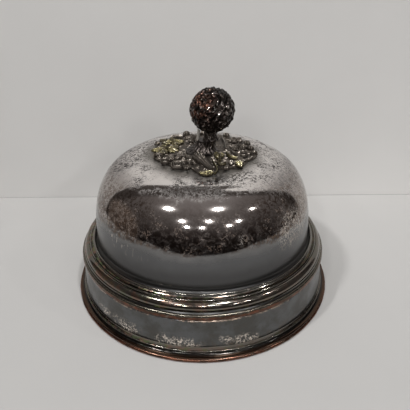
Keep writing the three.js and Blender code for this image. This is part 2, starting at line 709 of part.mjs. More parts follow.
// half is the half width and rise the height at a share of the line and across it (-1 to 1);
// lift raises the underside clear of the plate where a casting climbs.
function raised(line, { steps, across = 6, half, rise, lift = () => 0, closed = false }) {
  const rings = [];
  const ringCount = closed ? steps : steps + 1;
  for (let i = 0; i < ringCount; i += 1) {
    const share = i / steps;
    const centre = line.getPointAt(share);
    const side = new THREE.Vector3().crossVectors(up, line.getTangentAt(share)).normalize();
    const over = [];
    const under = [];
    for (let j = 0; j <= across; j += 1) {
      const v = (2 * j) / across - 1;
      const point = centre.clone().addScaledVector(side, v * half(share));
      const seat = seatAt(point.x, point.y) + lift(share);
      over.push(new THREE.Vector3(point.x, point.y, seat + rise(share, v)));
      under.push(new THREE.Vector3(point.x, point.y, seat));
    }
    rings.push([...over, ...under.reverse()]);
  }
  return skin(rings, closed);
}

// A closed surface through rings of equal point counts.
function skin(rings, closed) {
  const size = rings[0].length;
  const positions = rings.flat().flatMap((point) => [point.x, point.y, point.z]);
  const faces = [];
  const spans = closed ? rings.length : rings.length - 1;
  for (let i = 0; i < spans; i += 1) {
    const here = i * size;
    const next = ((i + 1) % rings.length) * size;
    for (let j = 0; j < size; j += 1) {
      const k = (j + 1) % size;
      faces.push(here + j, next + j, next + k, here + j, next + k, here + k);
    }
  }
  if (!closed) {
    const last = (rings.length - 1) * size;
    const half = size / 2;
    for (let j = 0; j < half - 1; j += 1) {
      const low = size - 1 - j;
      faces.push(j, j + 1, low - 1, j, low - 1, low);
      faces.push(last + j, last + low - 1, last + j + 1, last + j, last + low, last + low - 1);
    }
  }
  const geometry = new THREE.BufferGeometry();
  geometry.setAttribute('position', new THREE.Float32BufferAttribute(positions, 3));
  geometry.setIndex(faces);
  return geometry;
}

// A line on the mount through points given in shares of the mount's radius, x to the right and
// y to the back.
function lineOnPlate(points, closed = false) {
  return new THREE.CatmullRomCurve3(
    points.map(([x, y]) => new THREE.Vector3(x * MOUNT_RADIUS, y * MOUNT_RADIUS, 0)), closed, 'centripetal',
  );
}

// The round back of a casting: 1 along its middle, falling away across it (v from -1 to 1).
function backAt(v) {
  return 1 - BACK_FALL * v * v;
}

// Tapers a casting towards both ends of its line.
function tapered(share) {
  return 1 - CAST_TAPER * (1 - Math.sin(Math.PI * share));
}

// A cast leaf along a line: widest past its middle, notched along its edges, with a sunk midrib.
// width and height are shares of the usual leaf's.
function leaf(name, points, { width = 1, height = 1, notches = 3, material = castDark } = {}) {
  const half = (share) => {
    const body = Math.sin(Math.PI * THREE.MathUtils.lerp(LEAF_ROOT_AT, LEAF_POINT_AT, share));
    const notch = LEAF_NOTCH * Math.abs(Math.cos(Math.PI * notches * share));
    return LEAF_HALF_WIDTH * width * body * (1 - notch);
  };
  const rise = (share, v) => {
    const midrib = MIDRIB_DEPTH * Math.exp(-((v / MIDRIB_WIDTH) ** 2));
    const ends = THREE.MathUtils.lerp(LEAF_END_HEIGHT, 1, Math.sin(Math.PI * share));
    return LEAF_RISE * height * (backAt(v) - midrib) * ends;
  };
  add(name, raised(lineOnPlate(points), { steps: 11, across: 4, half, rise }), material);
}

// A thin round-backed strand along a line, beaded where it has beads.
function strand(name, points, { width = 1, height = 1, beads = 0, material = castDark } = {}) {
  const beading = (share) => (beads === 0
    ? 1
    : 1 - BEAD_DEPTH * (1 - Math.abs(Math.sin(Math.PI * beads * share))));
  add(name, raised(lineOnPlate(points), {
    steps: Math.max(9, beads * 4),
    across: 4,
    half: (share) => STRAND_HALF_WIDTH * width * beading(share) * tapered(share),
    rise: (share, v) => STRAND_RISE * height * beading(share) * backAt(v),
  }), material);
}

// A scroll: a round-backed strap that winds in round a point from one radius to another.
function scroll(name, [x, y], { outer, inner, from, sweep, material = castDark }) {
  const points = [];
  const turns = 10;
  for (let k = 0; k <= turns; k += 1) {
    const angle = THREE.MathUtils.degToRad(from + (sweep * k) / turns);
    const radius = outer + ((inner - outer) * k) / turns;
    points.push([x + radius * Math.cos(angle), y + radius * Math.sin(angle)]);
  }
  add(name, raised(lineOnPlate(points), {
    steps: 11,
    across: 4,
    half: (share) => SCROLL_HALF_WIDTH * tapered(share),
    rise: (share, v) => SCROLL_RISE * backAt(v),
  }), material);
}

// A ring flower: a lobed ring round an open eye.
function ringFlower(name, [x, y], { radius, lobes, lobe, width = 1, material = castDark }) {
  const points = [];
  const count = lobes * 4;
  for (let k = 0; k < count; k += 1) {
    const angle = (2 * Math.PI * k) / count;
    const reach = radius * (1 + lobe * Math.cos(lobes * angle + Math.PI));
    points.push([x + reach * Math.cos(angle), y + reach * Math.sin(angle)]);
  }
  add(name, raised(lineOnPlate(points, true), {
    steps: 12,
    across: 4,
    half: () => RING_HALF_WIDTH * width,
    rise: (share, v) => RING_RISE * backAt(v),
    closed: true,
  }), material);
}

// A bud: a small lobed dome.
function bud(name, [x, y], { size = 1, height = 1, lobes = 5, material = castDark } = {}) {
  const radius = BUD_RADIUS * size;
  const rise = BUD_RISE * height;
  const section = [
    new THREE.Vector2(0, 0),
    new THREE.Vector2(radius, 0),
    ...BUD_SECTION.map(([out, high]) => new THREE.Vector2(radius * out, rise * high)),
    new THREE.Vector2(0, rise),
  ];
  add(name, shapeVertices(turn(section, lobes * 3), (vertex) => {
    const swell = 1 - BUD_NOTCH * (1 - Math.cos(lobes * Math.atan2(vertex.y, vertex.x)));
    vertex.x = x * MOUNT_RADIUS + vertex.x * swell;
    vertex.y = y * MOUNT_RADIUS + vertex.y * swell;
    vertex.z += seatAt(vertex.x, vertex.y);
  }), material);
}

// A vine leaf: lobes round a point, each with a sunk vein. long and wide are its half sizes in
// shares of the mount's radius, towards the angle that it points in and across it.
function vineLeaf(name, [x, y], { long, wide, facing, lobes = 5, material = castBrassy }) {
  const section = [
    new THREE.Vector2(0, 0),
    new THREE.Vector2(1, 0),
    ...VINE_LEAF_SECTION.map(([out, high]) => new THREE.Vector2(out, high)),
  ];
  const towards = THREE.MathUtils.degToRad(facing);
  add(name, shapeVertices(turn(section, lobes * 6), (vertex) => {
    const angle = Math.atan2(vertex.y, vertex.x);
    const inLobe = Math.abs(Math.cos((lobes * angle) / 2));
    const reach = 1 - VINE_LEAF_NOTCH * (1 - inLobe);
    const vein = vertex.z > 0.5 ? 1 - VINE_LEAF_VEIN * inLobe ** 8 : 1;
    const along = vertex.x * reach * long * MOUNT_RADIUS;
    const across = vertex.y * reach * wide * MOUNT_RADIUS;
    vertex.x = x * MOUNT_RADIUS + along * Math.cos(towards) - across * Math.sin(towards);
    vertex.y = y * MOUNT_RADIUS + along * Math.sin(towards) + across * Math.cos(towards);
    vertex.z = seatAt(vertex.x, vertex.y) + vertex.z * vein * VINE_LEAF_RISE;
  }), material);
}

// Ribbed vine: comes down the front of the boss, sweeps to the front lobe and ends in a curled leaf.
const vineStart = -(BOSS_RADIUS + VINE_START_GAP) / MOUNT_RADIUS;
const vineLine = lineOnPlate([
  [-0.07, vineStart], [-0.04, vineStart - 0.07], [0.02, -0.5],
  [0.075, -0.61], [0.135, -0.715], [0.165, -0.8],
]);
add('vine_scroll', raised(vineLine, {
  steps: 18,
  across: 8,
  half: (share) => VINE_END_HALF_WIDTH
    + (VINE_HALF_WIDTH - VINE_END_HALF_WIDTH) * (1 - share) ** VINE_TAPER_POWER,
  rise: (share, v) => (VINE_END_RISE + (VINE_RISE - VINE_END_RISE) * (1 - share) ** 2) * backAt(v)
    * (1 + VINE_RIB * Math.cos(4 * Math.PI * v)),
}), castDark);
leaf('leaf_vine_tip', [[0.17, -0.855], [0.12, -0.9], [0.05, -0.92], [-0.04, -0.89]],
  { width: 0.84, height: 0.9, notches: 5, material: castBrassy });

// Left side: three vine leaves, scrolls, a square flower and a small ring
vineLeaf('leaf_left', [-0.635, 0.03], { long: 0.27, wide: 0.19, facing: 178 });
vineLeaf('leaf_back_left', [-0.56, 0.405], { long: 0.27, wide: 0.17, facing: 150 });
vineLeaf('leaf_front_left', [-0.455, -0.3], { long: 0.155, wide: 0.13, facing: 235, material: castDark });
scroll('scroll_left', [-0.742, -0.245], { outer: 0.09, inner: 0.06, from: 205, sweep: -250 });
scroll('scroll_front', [-0.205, -0.555], { outer: 0.07, inner: 0.04, from: 200, sweep: -250 });
strand('strand_left', [[-0.25, -0.45], [-0.25, -0.36], [-0.275, -0.255], [-0.29, -0.07]], { width: 1.1 });
ringFlower('flower_left', [-0.412, -0.625], { radius: 0.083, lobes: 4, lobe: 0.12, width: 1.4 });
ringFlower('flower_left_small', [-0.62, -0.47], { radius: 0.062, lobes: 4, lobe: 0 });
bud('bud_front_left', [-0.25, -0.72], { size: 0.7, height: 0.7 });

// Right of the vine: a heart leaf in a curl, a branch with leaves and a strand down to the front
vineLeaf('leaf_heart', [0.29, -0.28], { long: 0.12, wide: 0.1, facing: 250, lobes: 3 });
strand('strand_front', [[0.18, -0.475], [0.21, -0.61], [0.245, -0.75], [0.24, -0.845], [0.205, -0.925]],
  { width: 0.9, material: castBrassy });
scroll('scroll_heart', [0.34, -0.55],
  { outer: 0.09, inner: 0.055, from: 100, sweep: 270, material: castBrassy });
strand('branch_right', [[0.43, -0.155], [0.46, -0.27], [0.52, -0.35], [0.61, -0.38]],
  { width: 1.5, height: 1.3, material: castBrassy });
strand('strand_mid', [[0.52, -0.04], [0.56, -0.165], [0.605, -0.265]], { width: 1.1 });
leaf('leaf_small', [[0.475, -0.485], [0.49, -0.545], [0.48, -0.625]], { width: 0.5, height: 0.8 });
leaf('leaf_right_low', [[0.6, -0.47], [0.62, -0.54], [0.645, -0.67]],
  { width: 0.9, height: 0.9, material: castBrassy });
bud('bud_front_right', [0.4, -0.73], { size: 0.65, height: 0.7 });
scroll('scroll_right', [0.715, -0.19], { outer: 0.092, inner: 0.055, from: 110, sweep: -250 });
scroll('scroll_right_outer', [0.92, -0.115], { outer: 0.06, inner: 0.048, from: 210, sweep: -230 });
strand('bead_edge', [[0.72, -0.455], [0.77, -0.39], [0.83, -0.34], [0.88, -0.265]],
  { width: 1.3, beads: 5 });

// Back: leaves and buds round the boss
vineLeaf('leaf_right_back', [0.66, 0.115], { long: 0.18, wide: 0.13, facing: 20, material: castDark });
vineLeaf('leaf_right_far', [0.63, 0.46], { long: 0.17, wide: 0.12, facing: 45, material: castDark });
strand('strand_back_right', [[0.38, 0.67], [0.405, 0.47], [0.425, 0.255], [0.42, 0.01]], { width: 1.1 });
vineLeaf('leaf_back_right', [0.19, 0.53], { long: 0.26, wide: 0.13, facing: 82, material: castDark });
vineLeaf('leaf_back', [-0.16, 0.555], { long: 0.24, wide: 0.15, facing: 98, material: castDark });
leaf('leaf_far_left', [[-0.36, 0.66], [-0.45, 0.69], [-0.54, 0.69], [-0.6, 0.65]], { width: 0.6 });
bud('bud_back_left', [-0.3, 0.79], { size: 0.95, height: 1.3 });
bud('bud_back', [0.02, 0.84], { size: 0.8 });
bud('bud_back_right', [0.47, 0.76], { size: 0.85 });
bud('bud_right_back', [0.83, 0.33], { size: 0.85, height: 1.1 });
bud('bud_right_outer', [0.88, 0.115], { size: 0.75, height: 0.9 });
bud('bud_left_outer', [-0.83, 0.375], { size: 0.7, height: 0.8 });

export default cloche;
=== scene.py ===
import math

import bpy
import bmesh
from mathutils import Matrix, Vector, noise


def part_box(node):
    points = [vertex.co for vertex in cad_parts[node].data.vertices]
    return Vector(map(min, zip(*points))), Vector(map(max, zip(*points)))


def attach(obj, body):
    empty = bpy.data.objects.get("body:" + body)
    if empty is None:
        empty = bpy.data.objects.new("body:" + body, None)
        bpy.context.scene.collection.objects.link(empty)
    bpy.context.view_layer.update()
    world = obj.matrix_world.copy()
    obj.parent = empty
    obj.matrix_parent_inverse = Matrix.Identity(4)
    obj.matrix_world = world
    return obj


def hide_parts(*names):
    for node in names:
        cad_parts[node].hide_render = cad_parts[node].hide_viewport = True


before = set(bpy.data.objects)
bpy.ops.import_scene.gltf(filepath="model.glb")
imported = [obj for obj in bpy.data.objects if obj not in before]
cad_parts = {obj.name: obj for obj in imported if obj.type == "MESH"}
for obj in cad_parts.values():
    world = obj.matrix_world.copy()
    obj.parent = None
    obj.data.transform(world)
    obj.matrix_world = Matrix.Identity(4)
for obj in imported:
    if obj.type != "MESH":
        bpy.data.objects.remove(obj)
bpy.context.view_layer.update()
scene = bpy.context.scene
scene.view_settings.view_transform = "Standard"

# Camera, from the fitted rim and shoulder ellipses
CAMERA_AT = Vector((0.0, -0.4333, 0.3321))
PITCH = math.radians(29.5)
YAW = math.radians(0.38)
ROLL = math.radians(-0.3)
SENSOR = 36
PICTURE_WIDTH = 410
FOCAL_PIXELS = 460
LENS = SENSOR * FOCAL_PIXELS / PICTURE_WIDTH

# Everything on the object is worked out in millimetres and made in metres
MM = 0.001

# Sheet and joints
SHEET = 1.2
GAP = 0.3

# How far to each side of a point its wear is judged
WEAR_REACH = 1.0

# How deep the sheet is dented, and how far apart the points of its sections are
DENT = 0.12
RIM_DENT = 0.22
DOME_STEP = 1.3
SKIRT_STEP = 2.0

# Rings of the body, as the frame has them
rim_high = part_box("rim_wire")[1]
skirt_low, skirt_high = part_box("skirt_band")
foot_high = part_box("foot_moulding")[1]
bead_low, bead_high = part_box("lower_bead")
dome_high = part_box("dome_shell")[1]
RIM_RADIUS = rim_high[0] / MM
RIM_HEIGHT = rim_high[2] / MM
RIM_WIDTH = 4.2
SKIRT_BOTTOM = skirt_low[2] / MM
SKIRT_TOP = skirt_high[2] / MM
SKIRT_RADIUS = skirt_high[0] / MM
SKIRT_FLARE = 2.5
SEAM_RAGGED = 0.35
FLANGE_RADIUS = dome_high[0] / MM
FLANGE_LAP = 7.5
FOOT_TOP = foot_high[2] / MM
BEAD_BOTTOM = bead_low[2] / MM
BEAD_TOP = bead_high[2] / MM
CROWN_TOP = dome_high[2] / MM

# Foot moulding
FOOT_TOP_EDGE = 0.7
FOOT_LIP = 1.1
FOOT_LIP_AT = 0.35
RIDGE_PROJECTION = 1.6
RIDGE_HEIGHT = 4.4
RIDGE_RADIUS = 0.55

# Shoulder and its mouldings
SHOULDER_ROUND = 2.2
SLOPE_RISE = 12.1
COVE_RADIUS = 5.6
COVE_ANGLE = math.radians(55)
BEAD_PROJECTION = 2.5
BEAD_EDGE = 0.4
TORUS_START = 2.3
TORUS_EDGE = 0.9
TORUS_RIDGE_AT = 5.9
TORUS_RIDGE_HEIGHT = 2.7
TORUS_GROOVE_AT = 7.0
TORUS_GROOVE_HEIGHT = 2.1
TORUS_PEAK = 4.4
TORUS_PEAK_AT = 8.7
TORUS_CREST = 3.5
TORUS_FALL = 2.8
TORUS_LENGTH = 14.2
TORUS_LOW_GROOVE = 1.4
TORUS_LOW_GROOVE_HEIGHT = 1.2
TORUS_LOW_RIDGE = 0.9
TORUS_LOW_RIDGE_HEIGHT = 1.7
TORUS_END_HEIGHT = 1.3
UPPER_BEAD_AT = 0.9
UPPER_BEAD_RADIUS = 1.0

# Dome
DOME_RADIUS = 113.5
DOME_RISE = 82.2
WALL_POWER = 4.6
CROWN_POWER = 2.6
WALL_BASE = CROWN_TOP - DOME_RISE
BORE = 3.4

# Crown mount
MOUNT_RADIUS = 57
PLATE_RADIUS = 53
PLATE_BORE = 9
PLATE_SHIFT = 3
PLATE_THICKNESS = 1.3
PLATE_EDGE = 0.7
PLATE_LOBES = 9
PLATE_LOBE_DEPTH = 3.5
PLATE_TURN = math.radians(4)
PLATE_FRONT_CUT = 10
FRONT_LOBE_REACH = 11
FRONT_LOBE_SPREAD = 0.22
PLATE_SWELL = 1.2
PLATE_SWELL_RADIUS = 34
boss_low, boss_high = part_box("stalk_boss")
BOSS_BOTTOM = boss_low[2] / MM
BOSS_TOP = boss_high[2] / MM
BOSS_RADIUS = 16.5

# Finial
FINIAL_RADIUS = 21.6
FINIAL_CENTRE = Vector((10.2, 0, BOSS_TOP + 8.8 + FINIAL_RADIUS))
SEAM_NORMAL = Vector((-0.64, -0.23, 0.73)).normalized()
SEAM_DISTANCE = 8.4
SEAM_GROOVE = 1.4
SEAM_GROOVE_WIDTH = 0.8
KNOB_FOOT = 1.5
KNOB_HEIGHT = 2.2


# Meshes

def make_object(name, vertices, faces, material):
    mesh = bpy.data.meshes.new(name)
    mesh.from_pydata(vertices, [], faces)
    mesh.materials.append(material)
    made = bpy.data.objects.new(name, mesh)
    scene.collection.objects.link(made)
    return made


def make_piece(name, node, vertices, faces, material, wear, sharp):
    """A piece on the cover; wear is 0 in the hollows and 1 on the rubbed ridges, one number to a vertex."""
    piece = make_object(name, [Vector(vertex) * MM for vertex in vertices], faces, material)
    piece.data.shade_smooth()
    piece.data.set_sharp_from_angle(angle=math.radians(sharp))
    piece.data.attributes.new("wear", "FLOAT", "POINT").data.foreach_set("value", wear)
    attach(piece, "cover")
    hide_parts(node)


def sweep_faces(rows, columns, rows_close=True, columns_close=True):
    """Faces between neighbouring rows of vertices, whose last row and column may join the first."""
    faces = []
    for i in range(rows if rows_close else rows - 1):
        here = i * columns
        there = (i + 1) % rows * columns
        for j in range(columns if columns_close else columns - 1):
            k = (j + 1) % columns
            faces.append((here + j, there + j, there + k, here + k))
    return faces


def angles(count):
    return [2 * math.pi * i / count for i in range(count)]


def round_z(radius, angle, height):
    return (radius * math.cos(angle), radius * math.sin(angle), height)


def bell(value, width):
    """1 where the value is 0, falling smoothly on both sides."""
    return math.exp(-((value / width) ** 2))


def limited(value):
    return min(max(value, 0), 1)


def arc(centre_r, centre_z, radius, start, end, steps):
    points = []
    for k in range(steps + 1):
        angle = math.radians(start + (end - start) * k / steps)
        points.append((centre_r + radius * math.cos(angle), centre_z + radius * math.sin(angle)))
    return points


def bezier(points, steps):
    result = []
    for k in range(steps + 1):
        t = k / steps
        level = [Vector(point) for point in points]
        while len(level) > 1:
            level = [a.lerp(b, t) for a, b in zip(level, level[1:])]
        result.append(tuple(level[0]))
    return result


def resample(line, spacing):
    """The line with no step longer than the spacing, its corners kept."""
    result = [line[0]]
    for a, b in zip(line, line[1:]):
        steps = max(1, math.ceil(math.dist(a, b) / spacing))
        for k in range(1, steps + 1):
            result.append((a[0] + (b[0] - a[0]) * k / steps, a[1] + (b[1] - a[1]) * k / steps))
    return result


def turns_left(section):
    return sum(a[0] * b[1] - b[0] * a[1] for a, b in zip(section, section[1:] + section[:1])) > 0


def section_wear(section):
    """0 in the grooves of a closed section, 0.5 where it is flat and 1 on its ridges."""
    count = len(section)
    steps = [math.dist(section[i], section[(i + 1) % count]) for i in range(count)]

    def walk(i, way):
        left = WEAR_REACH
        while True:
            step = steps[i] if way > 0 else steps[i - 1]
            ahead = (i + way) % count
            if step >= left:
                return Vector(section[i]).lerp(Vector(section[ahead]), left / step)
            left -= step
            i = ahead

    outwards = 1 if turns_left(section) else -1
    result = []
    for i, point in enumerate(section):
        before = walk(i, -1)
        after = walk(i, 1)
        along = (after - before).normalized()
        normal = Vector((along.y, -along.x)) * outwards
        stands = (Vector(point) - (before + after) / 2).dot(normal)
        result.append(limited(0.5 + stands / WEAR_REACH))
    return result


def ring_piece(name, node, section, material, shift, sharp, segments=720):
    """Turns a closed section of (radius, height) points round Z; shift moves each point."""
    vertices = []
    for angle in angles(segments):
        for radius, height in section:
            dr, dz = shift(angle, radius, height)
            vertices.append(round_z(radius + dr, angle, height + dz))
    faces = sweep_faces(segments, len(section))
    if not turns_left(section):
        faces = [face[::-1] for face in faces]
    make_piece(name, node, vertices, faces, material, section_wear(section) * segments, sharp)


def rough_at(point, scale, seed=0.0):
    """Smooth noise from -1 to 1 at a point in millimetres; scale is the size of its lumps."""
    return noise.noise(Vector(point) / scale + Vector((seed, seed * 1.7, seed * 0.6)))


def uneven(base, *waves):
    """A shift of the radius: a base and waves of noise, each with its depth, size and seed."""
    def shift(angle, radius, height):
        at = round_z(radius, angle, height)
        return (base + sum(depth * rough_at(at, size, seed) for depth, size, seed in waves), 0)

    return shift


# Materials

class Nodes:
    """Adds nodes to one tree; place is the point that a value is worked out at."""

    def __init__(self, tree, coordinates):
        self.tree = tree
        self.place = self.add("TexCoord").outputs[coordinates]

    def put(self, value, socket):
        if isinstance(value, bpy.types.NodeSocket):
            self.tree.links.new(value, socket)
        else:
            socket.default_value = value

    def add(self, kind, sockets=None, **settings):
        """A node with its settings; sockets gives a value or a source to each of its inputs."""
        node = self.tree.nodes.new("ShaderNode" + kind)
        for name, value in settings.items():
            setattr(node, name, value)
        for name, value in (sockets or {}).items():
            self.put(value, node.inputs[name])
        return node

    def split(self):
        return self.add("SeparateXYZ", {0: self.place}).outputs

    def both(self, *values):
        result = values[0]
        for value in values[1:]:
            result = self.math("MULTIPLY", result, value)
        return result

    def either(self, *values):
        result = values[0]
        for value in values[1:]:
            result = self.math("MAXIMUM", result, value)
        return result

    def math(self, operation, a, b=0.0, clamp=False):
        return self.add("Math", {0: a, 1: b}, operation=operation, use_clamp=clamp).outputs[0]

    def step(self, value, low, high, start=0.0, end=1.0, smooth=True):
        """start below low, end above high, and a smooth change between."""
        sockets = {"Value": value, "From Min": low, "From Max": high, "To Min": start, "To Max": end}
        way = "SMOOTHSTEP" if smooth else "LINEAR"
        return self.add("MapRange", sockets, interpolation_type=way).outputs["Result"]

    def colours(self, factor, a, b):
        a, b = (value if isinstance(value, bpy.types.NodeSocket) else (*value, 1) for value in (a, b))
        return self.add("Mix", {0: factor, 6: a, 7: b}, data_type="RGBA").outputs[2]

    def over(self, colour, paint, *masks):
        """The colour, with paint over it where all the masks are."""
        return self.colours(self.both(*masks), colour, paint)


class Surface(Nodes):
    """The nodes of one material; places and sizes on it are in millimetres."""

    def __init__(self, name):
        self.material = bpy.data.materials.new(name)
        self.material.use_nodes = True
        super().__init__(self.material.node_tree, "Object")
        self.shader = self.tree.nodes["Principled BSDF"]
        self.place = self.vector("SCALE", {"Scale": 1 / MM})[0]

    def set(self, **values):
        for name, value in values.items():
            self.put(value, self.shader.inputs[name.replace("_", " ").title()])

    def vector(self, operation, sockets=None):
        return self.add("VectorMath", {0: self.place, **(sockets or {})}, operation=operation).outputs

    def noise(self, size, detail=4.0, rough=0.6, distortion=0.0, place=None):
        sockets = {"Scale": 1 / size, "Detail": detail, "Roughness": rough, "Distortion": distortion,
                   "Vector": place or self.place}
        return self.add("TexNoise", sockets).outputs["Fac"]

    def cell_edges(self, size):
        """How far a place is from the edge of its cell, in a pattern of cells."""
        sockets = {"Scale": 1 / size, "Randomness": 1.0, "Vector": self.place}
        return self.add("TexVoronoi", sockets, feature="DISTANCE_TO_EDGE").outputs["Distance"]

    def upright(self, share):
        """Places with their heights shrunk to a share, for marks that run down."""
        return self.vector("MULTIPLY", {1: (1, 1, share)})[0]

    def drawn_out(self, turn, length):
        """Places turned about Y by degrees and drawn out, for marks longer one way."""
        turned = self.add("VectorRotate", {"Vector": self.place, "Angle": math.radians(turn)},
                          rotation_type="Y_AXIS").outputs[0]
        return self.vector("MULTIPLY", {0: turned, 1: (1 / length, 1, 1)})[0]

    def radius(self):
        return self.vector("LENGTH", {0: self.upright(0.0)})["Value"]

    def wear(self):
        return self.add("Attribute", attribute_name="wear").outputs["Fac"]

    def near(self, place, inner, outer):
        """1 within one distance of a place, 0 beyond another."""
        return self.step(self.vector("DISTANCE", {1: place})["Value"], inner, outer, 1, 0)

    def lines(self, size, width, distortion=0.0, place=None):
        """Thin winding lines: where a noise passes through its middle."""
        wave = self.noise(size, 2, 0.5, distortion, place)
        off = self.math("ABSOLUTE", self.math("SUBTRACT", wave, 0.5))
        return self.step(off, width * 0.4, width, 1, 0)

    def ragged(self, value, cloud, reach):
        """The value moved up and down by a noise, so that a line drawn at it is ragged."""
        return self.math("ADD", value, self.step(cloud, 0.3, 0.7, -reach, reach, smooth=False))

    def fade(self, value, low, high):
        """1 below low and 0 above high."""
        return self.step(value, low, high, 1, 0)

    def finish(self, colour, roughness, relief, depth, metallic=1.0):
        """Gives the shader its values, with a relief as deep as depth, and returns the material."""
        bump = self.add("Bump", {"Strength": 1.0, "Distance": depth * MM, "Height": relief})
        self.set(base_color=colour, metallic=metallic, roughness=roughness, normal=bump.outputs["Normal"])
        return self.material


def dome_silver():
    """Raised silver: a bright crown eaten by fine pits, a browned wall and a dull blue-grey foot, darker in
    the crease at its base in front (painted shade) and paler towards the sides (painted reflection).
    """
    m = Surface("worn_silver")
    across, back, height = m.split()
    cloud = m.noise(26, 4, 0.55)
    grain = m.noise(1.3, 3, 0.7)
    ragged = m.ragged(height, cloud, 3)
    aside = m.math("ABSOLUTE", across)
    # Painted shade and painted reflection: below 66 to 71 mm, in the crease where the wall meets the cove,
    # the colour is darker in front and paler towards the sides
    foot = m.colours(m.step(aside, 50, 120), (0.055, 0.054, 0.053), (0.17, 0.168, 0.165))
    colour = m.colours(m.step(height, 66, 71), foot, (0.1, 0.099, 0.1))
    colour = m.colours(m.step(ragged, 74, 92), colour, (0.15, 0.151, 0.154))
    paler = m.colours(m.step(across, 50, 100), (0.235, 0.232, 0.23), (0.35, 0.345, 0.34))
    colour = m.colours(m.step(ragged, 90, 102), colour, paler)
    colour = m.colours(m.step(ragged, 101, 109), colour, (0.5, 0.46, 0.44))
    colour = m.colours(m.step(ragged, 137, 146), colour, (0.95, 0.9, 0.865))
    dulled = m.both(m.step(cloud, 0.45, 0.65), m.step(ragged, 96, 120))
    colour = m.over(colour, (0.42, 0.38, 0.36), dulled, 0.22)

    stain = m.step(m.noise(4.6, 7, 0.75, 0.7), 0.45, 0.53)
    low = m.both(m.step(ragged, 98, 103), m.fade(ragged, 110, 130))
    behind = m.step(back, -30, 50, 1, 0.3)
    colour = m.over(colour, (0.05, 0.033, 0.027), stain, low, behind, 0.9)
    mottle = m.both(m.step(m.noise(2.8, 6, 0.75, 0.9), 0.5, 0.54), m.step(ragged, 98, 102),
                    m.fade(height, 132, 141))
    colour = m.over(colour, (0.17, 0.125, 0.096), mottle, behind, m.step(aside, 30, 62, 0.25, 0.9))

    dash = m.step(m.noise(2.3, 3, 0.65, 0.6, m.drawn_out(-38, 2.0)), 0.57, 0.583)
    cross = m.step(m.noise(2.3, 3, 0.65, 0.6, m.drawn_out(40, 1.9)), 0.574, 0.587)
    winding = m.both(m.lines(3.2, 0.1, 1.4), m.step(m.noise(2.4, 3, 0.6), 0.45, 0.52))
    everywhere = m.step(m.noise(15, 3, 0.6), 0.42, 0.56, 0.35, 1)
    clear = m.near((-40, -52, 146), 6, 20)
    dense = m.either(m.both(m.near((84, -14, 128), 30, 72), 0.8), m.near((-74, 4, 138), 24, 46),
                     m.near((-2, -70, 146), 6, 18))
    thick = m.math("SUBTRACT", m.either(everywhere, dense), m.both(clear, 0.75), clamp=True)
    marks = m.both(m.either(dash, m.both(m.either(cross, winding), m.step(thick, 0.3, 0.9))), thick)
    crown = m.both(m.step(ragged, 97, 106),
                   m.either(m.step(ragged, 136, 143), m.both(dense, m.step(height, 122, 136))))
    pits = m.both(marks, crown)
    colour = m.colours(pits, colour, (0.03, 0.025, 0.022))

    streaked = m.drawn_out(62, 2.6)
    worm = m.both(m.lines(2.4, 0.07, 1.2, streaked), m.step(m.noise(3.0, 3, 0.6), 0.48, 0.53))
    fleck = m.either(worm, m.step(m.noise(1.25, 3, 0.65, 0.5, streaked), 0.58, 0.6))
    scattered = m.both(m.step(m.noise(20, 2, 0.5), 0.58, 0.68), m.step(height, 100, 108),
                       m.fade(height, 110, 124))
    bare = m.either(m.near((88, -72, 98), 16, 30), m.near((104, -40, 112), 8, 26), m.both(scattered, 0.6))
    peppered = m.both(m.step(m.noise(1.9, 5, 0.75, 0.5), 0.53, 0.56),
                      m.step(m.noise(13, 3, 0.6), 0.46, 0.6, 0.06, 1), m.step(ragged, 100, 104),
                      m.fade(ragged, 126, 138), behind)
    colour = m.over(colour, (0.15, 0.108, 0.085), peppered, 0.8)
    run = m.both(m.step(m.noise(1.9, 2, 0.5, 0.0, m.upright(0.07)), 0.62, 0.66),
                 m.step(m.noise(9, 2), 0.45, 0.55))
    left = m.both(m.fade(across, -90, -40), m.fade(ragged, 104, 116), run)
    bare = m.both(m.either(m.both(fleck, bare), left), m.step(ragged, 82, 90), m.fade(ragged, 124, 136))
    colour = m.over(colour, (0.42, 0.375, 0.33), bare, 0.85)

    edge = m.ragged(m.radius(), cloud, 4)
    halo = m.both(m.fade(edge, 50, 66), m.step(height, 120, 140))
    colour = m.over(colour, (0.14, 0.128, 0.112), halo, 0.9)

    metal = m.step(m.either(bare, pits, m.both(peppered, 0.7)), 0, 1, 1, 0.25)
    rough = m.math("ADD", m.step(ragged, 92, 102, 0.28, 0.085), m.both(halo, 0.3))
    rough = m.math("ADD", rough, m.both(m.either(pits, bare), 0.4))
    return m.finish(colour, rough, m.math("SUBTRACT", m.both(grain, 0.12), pits), 0.006, metal)


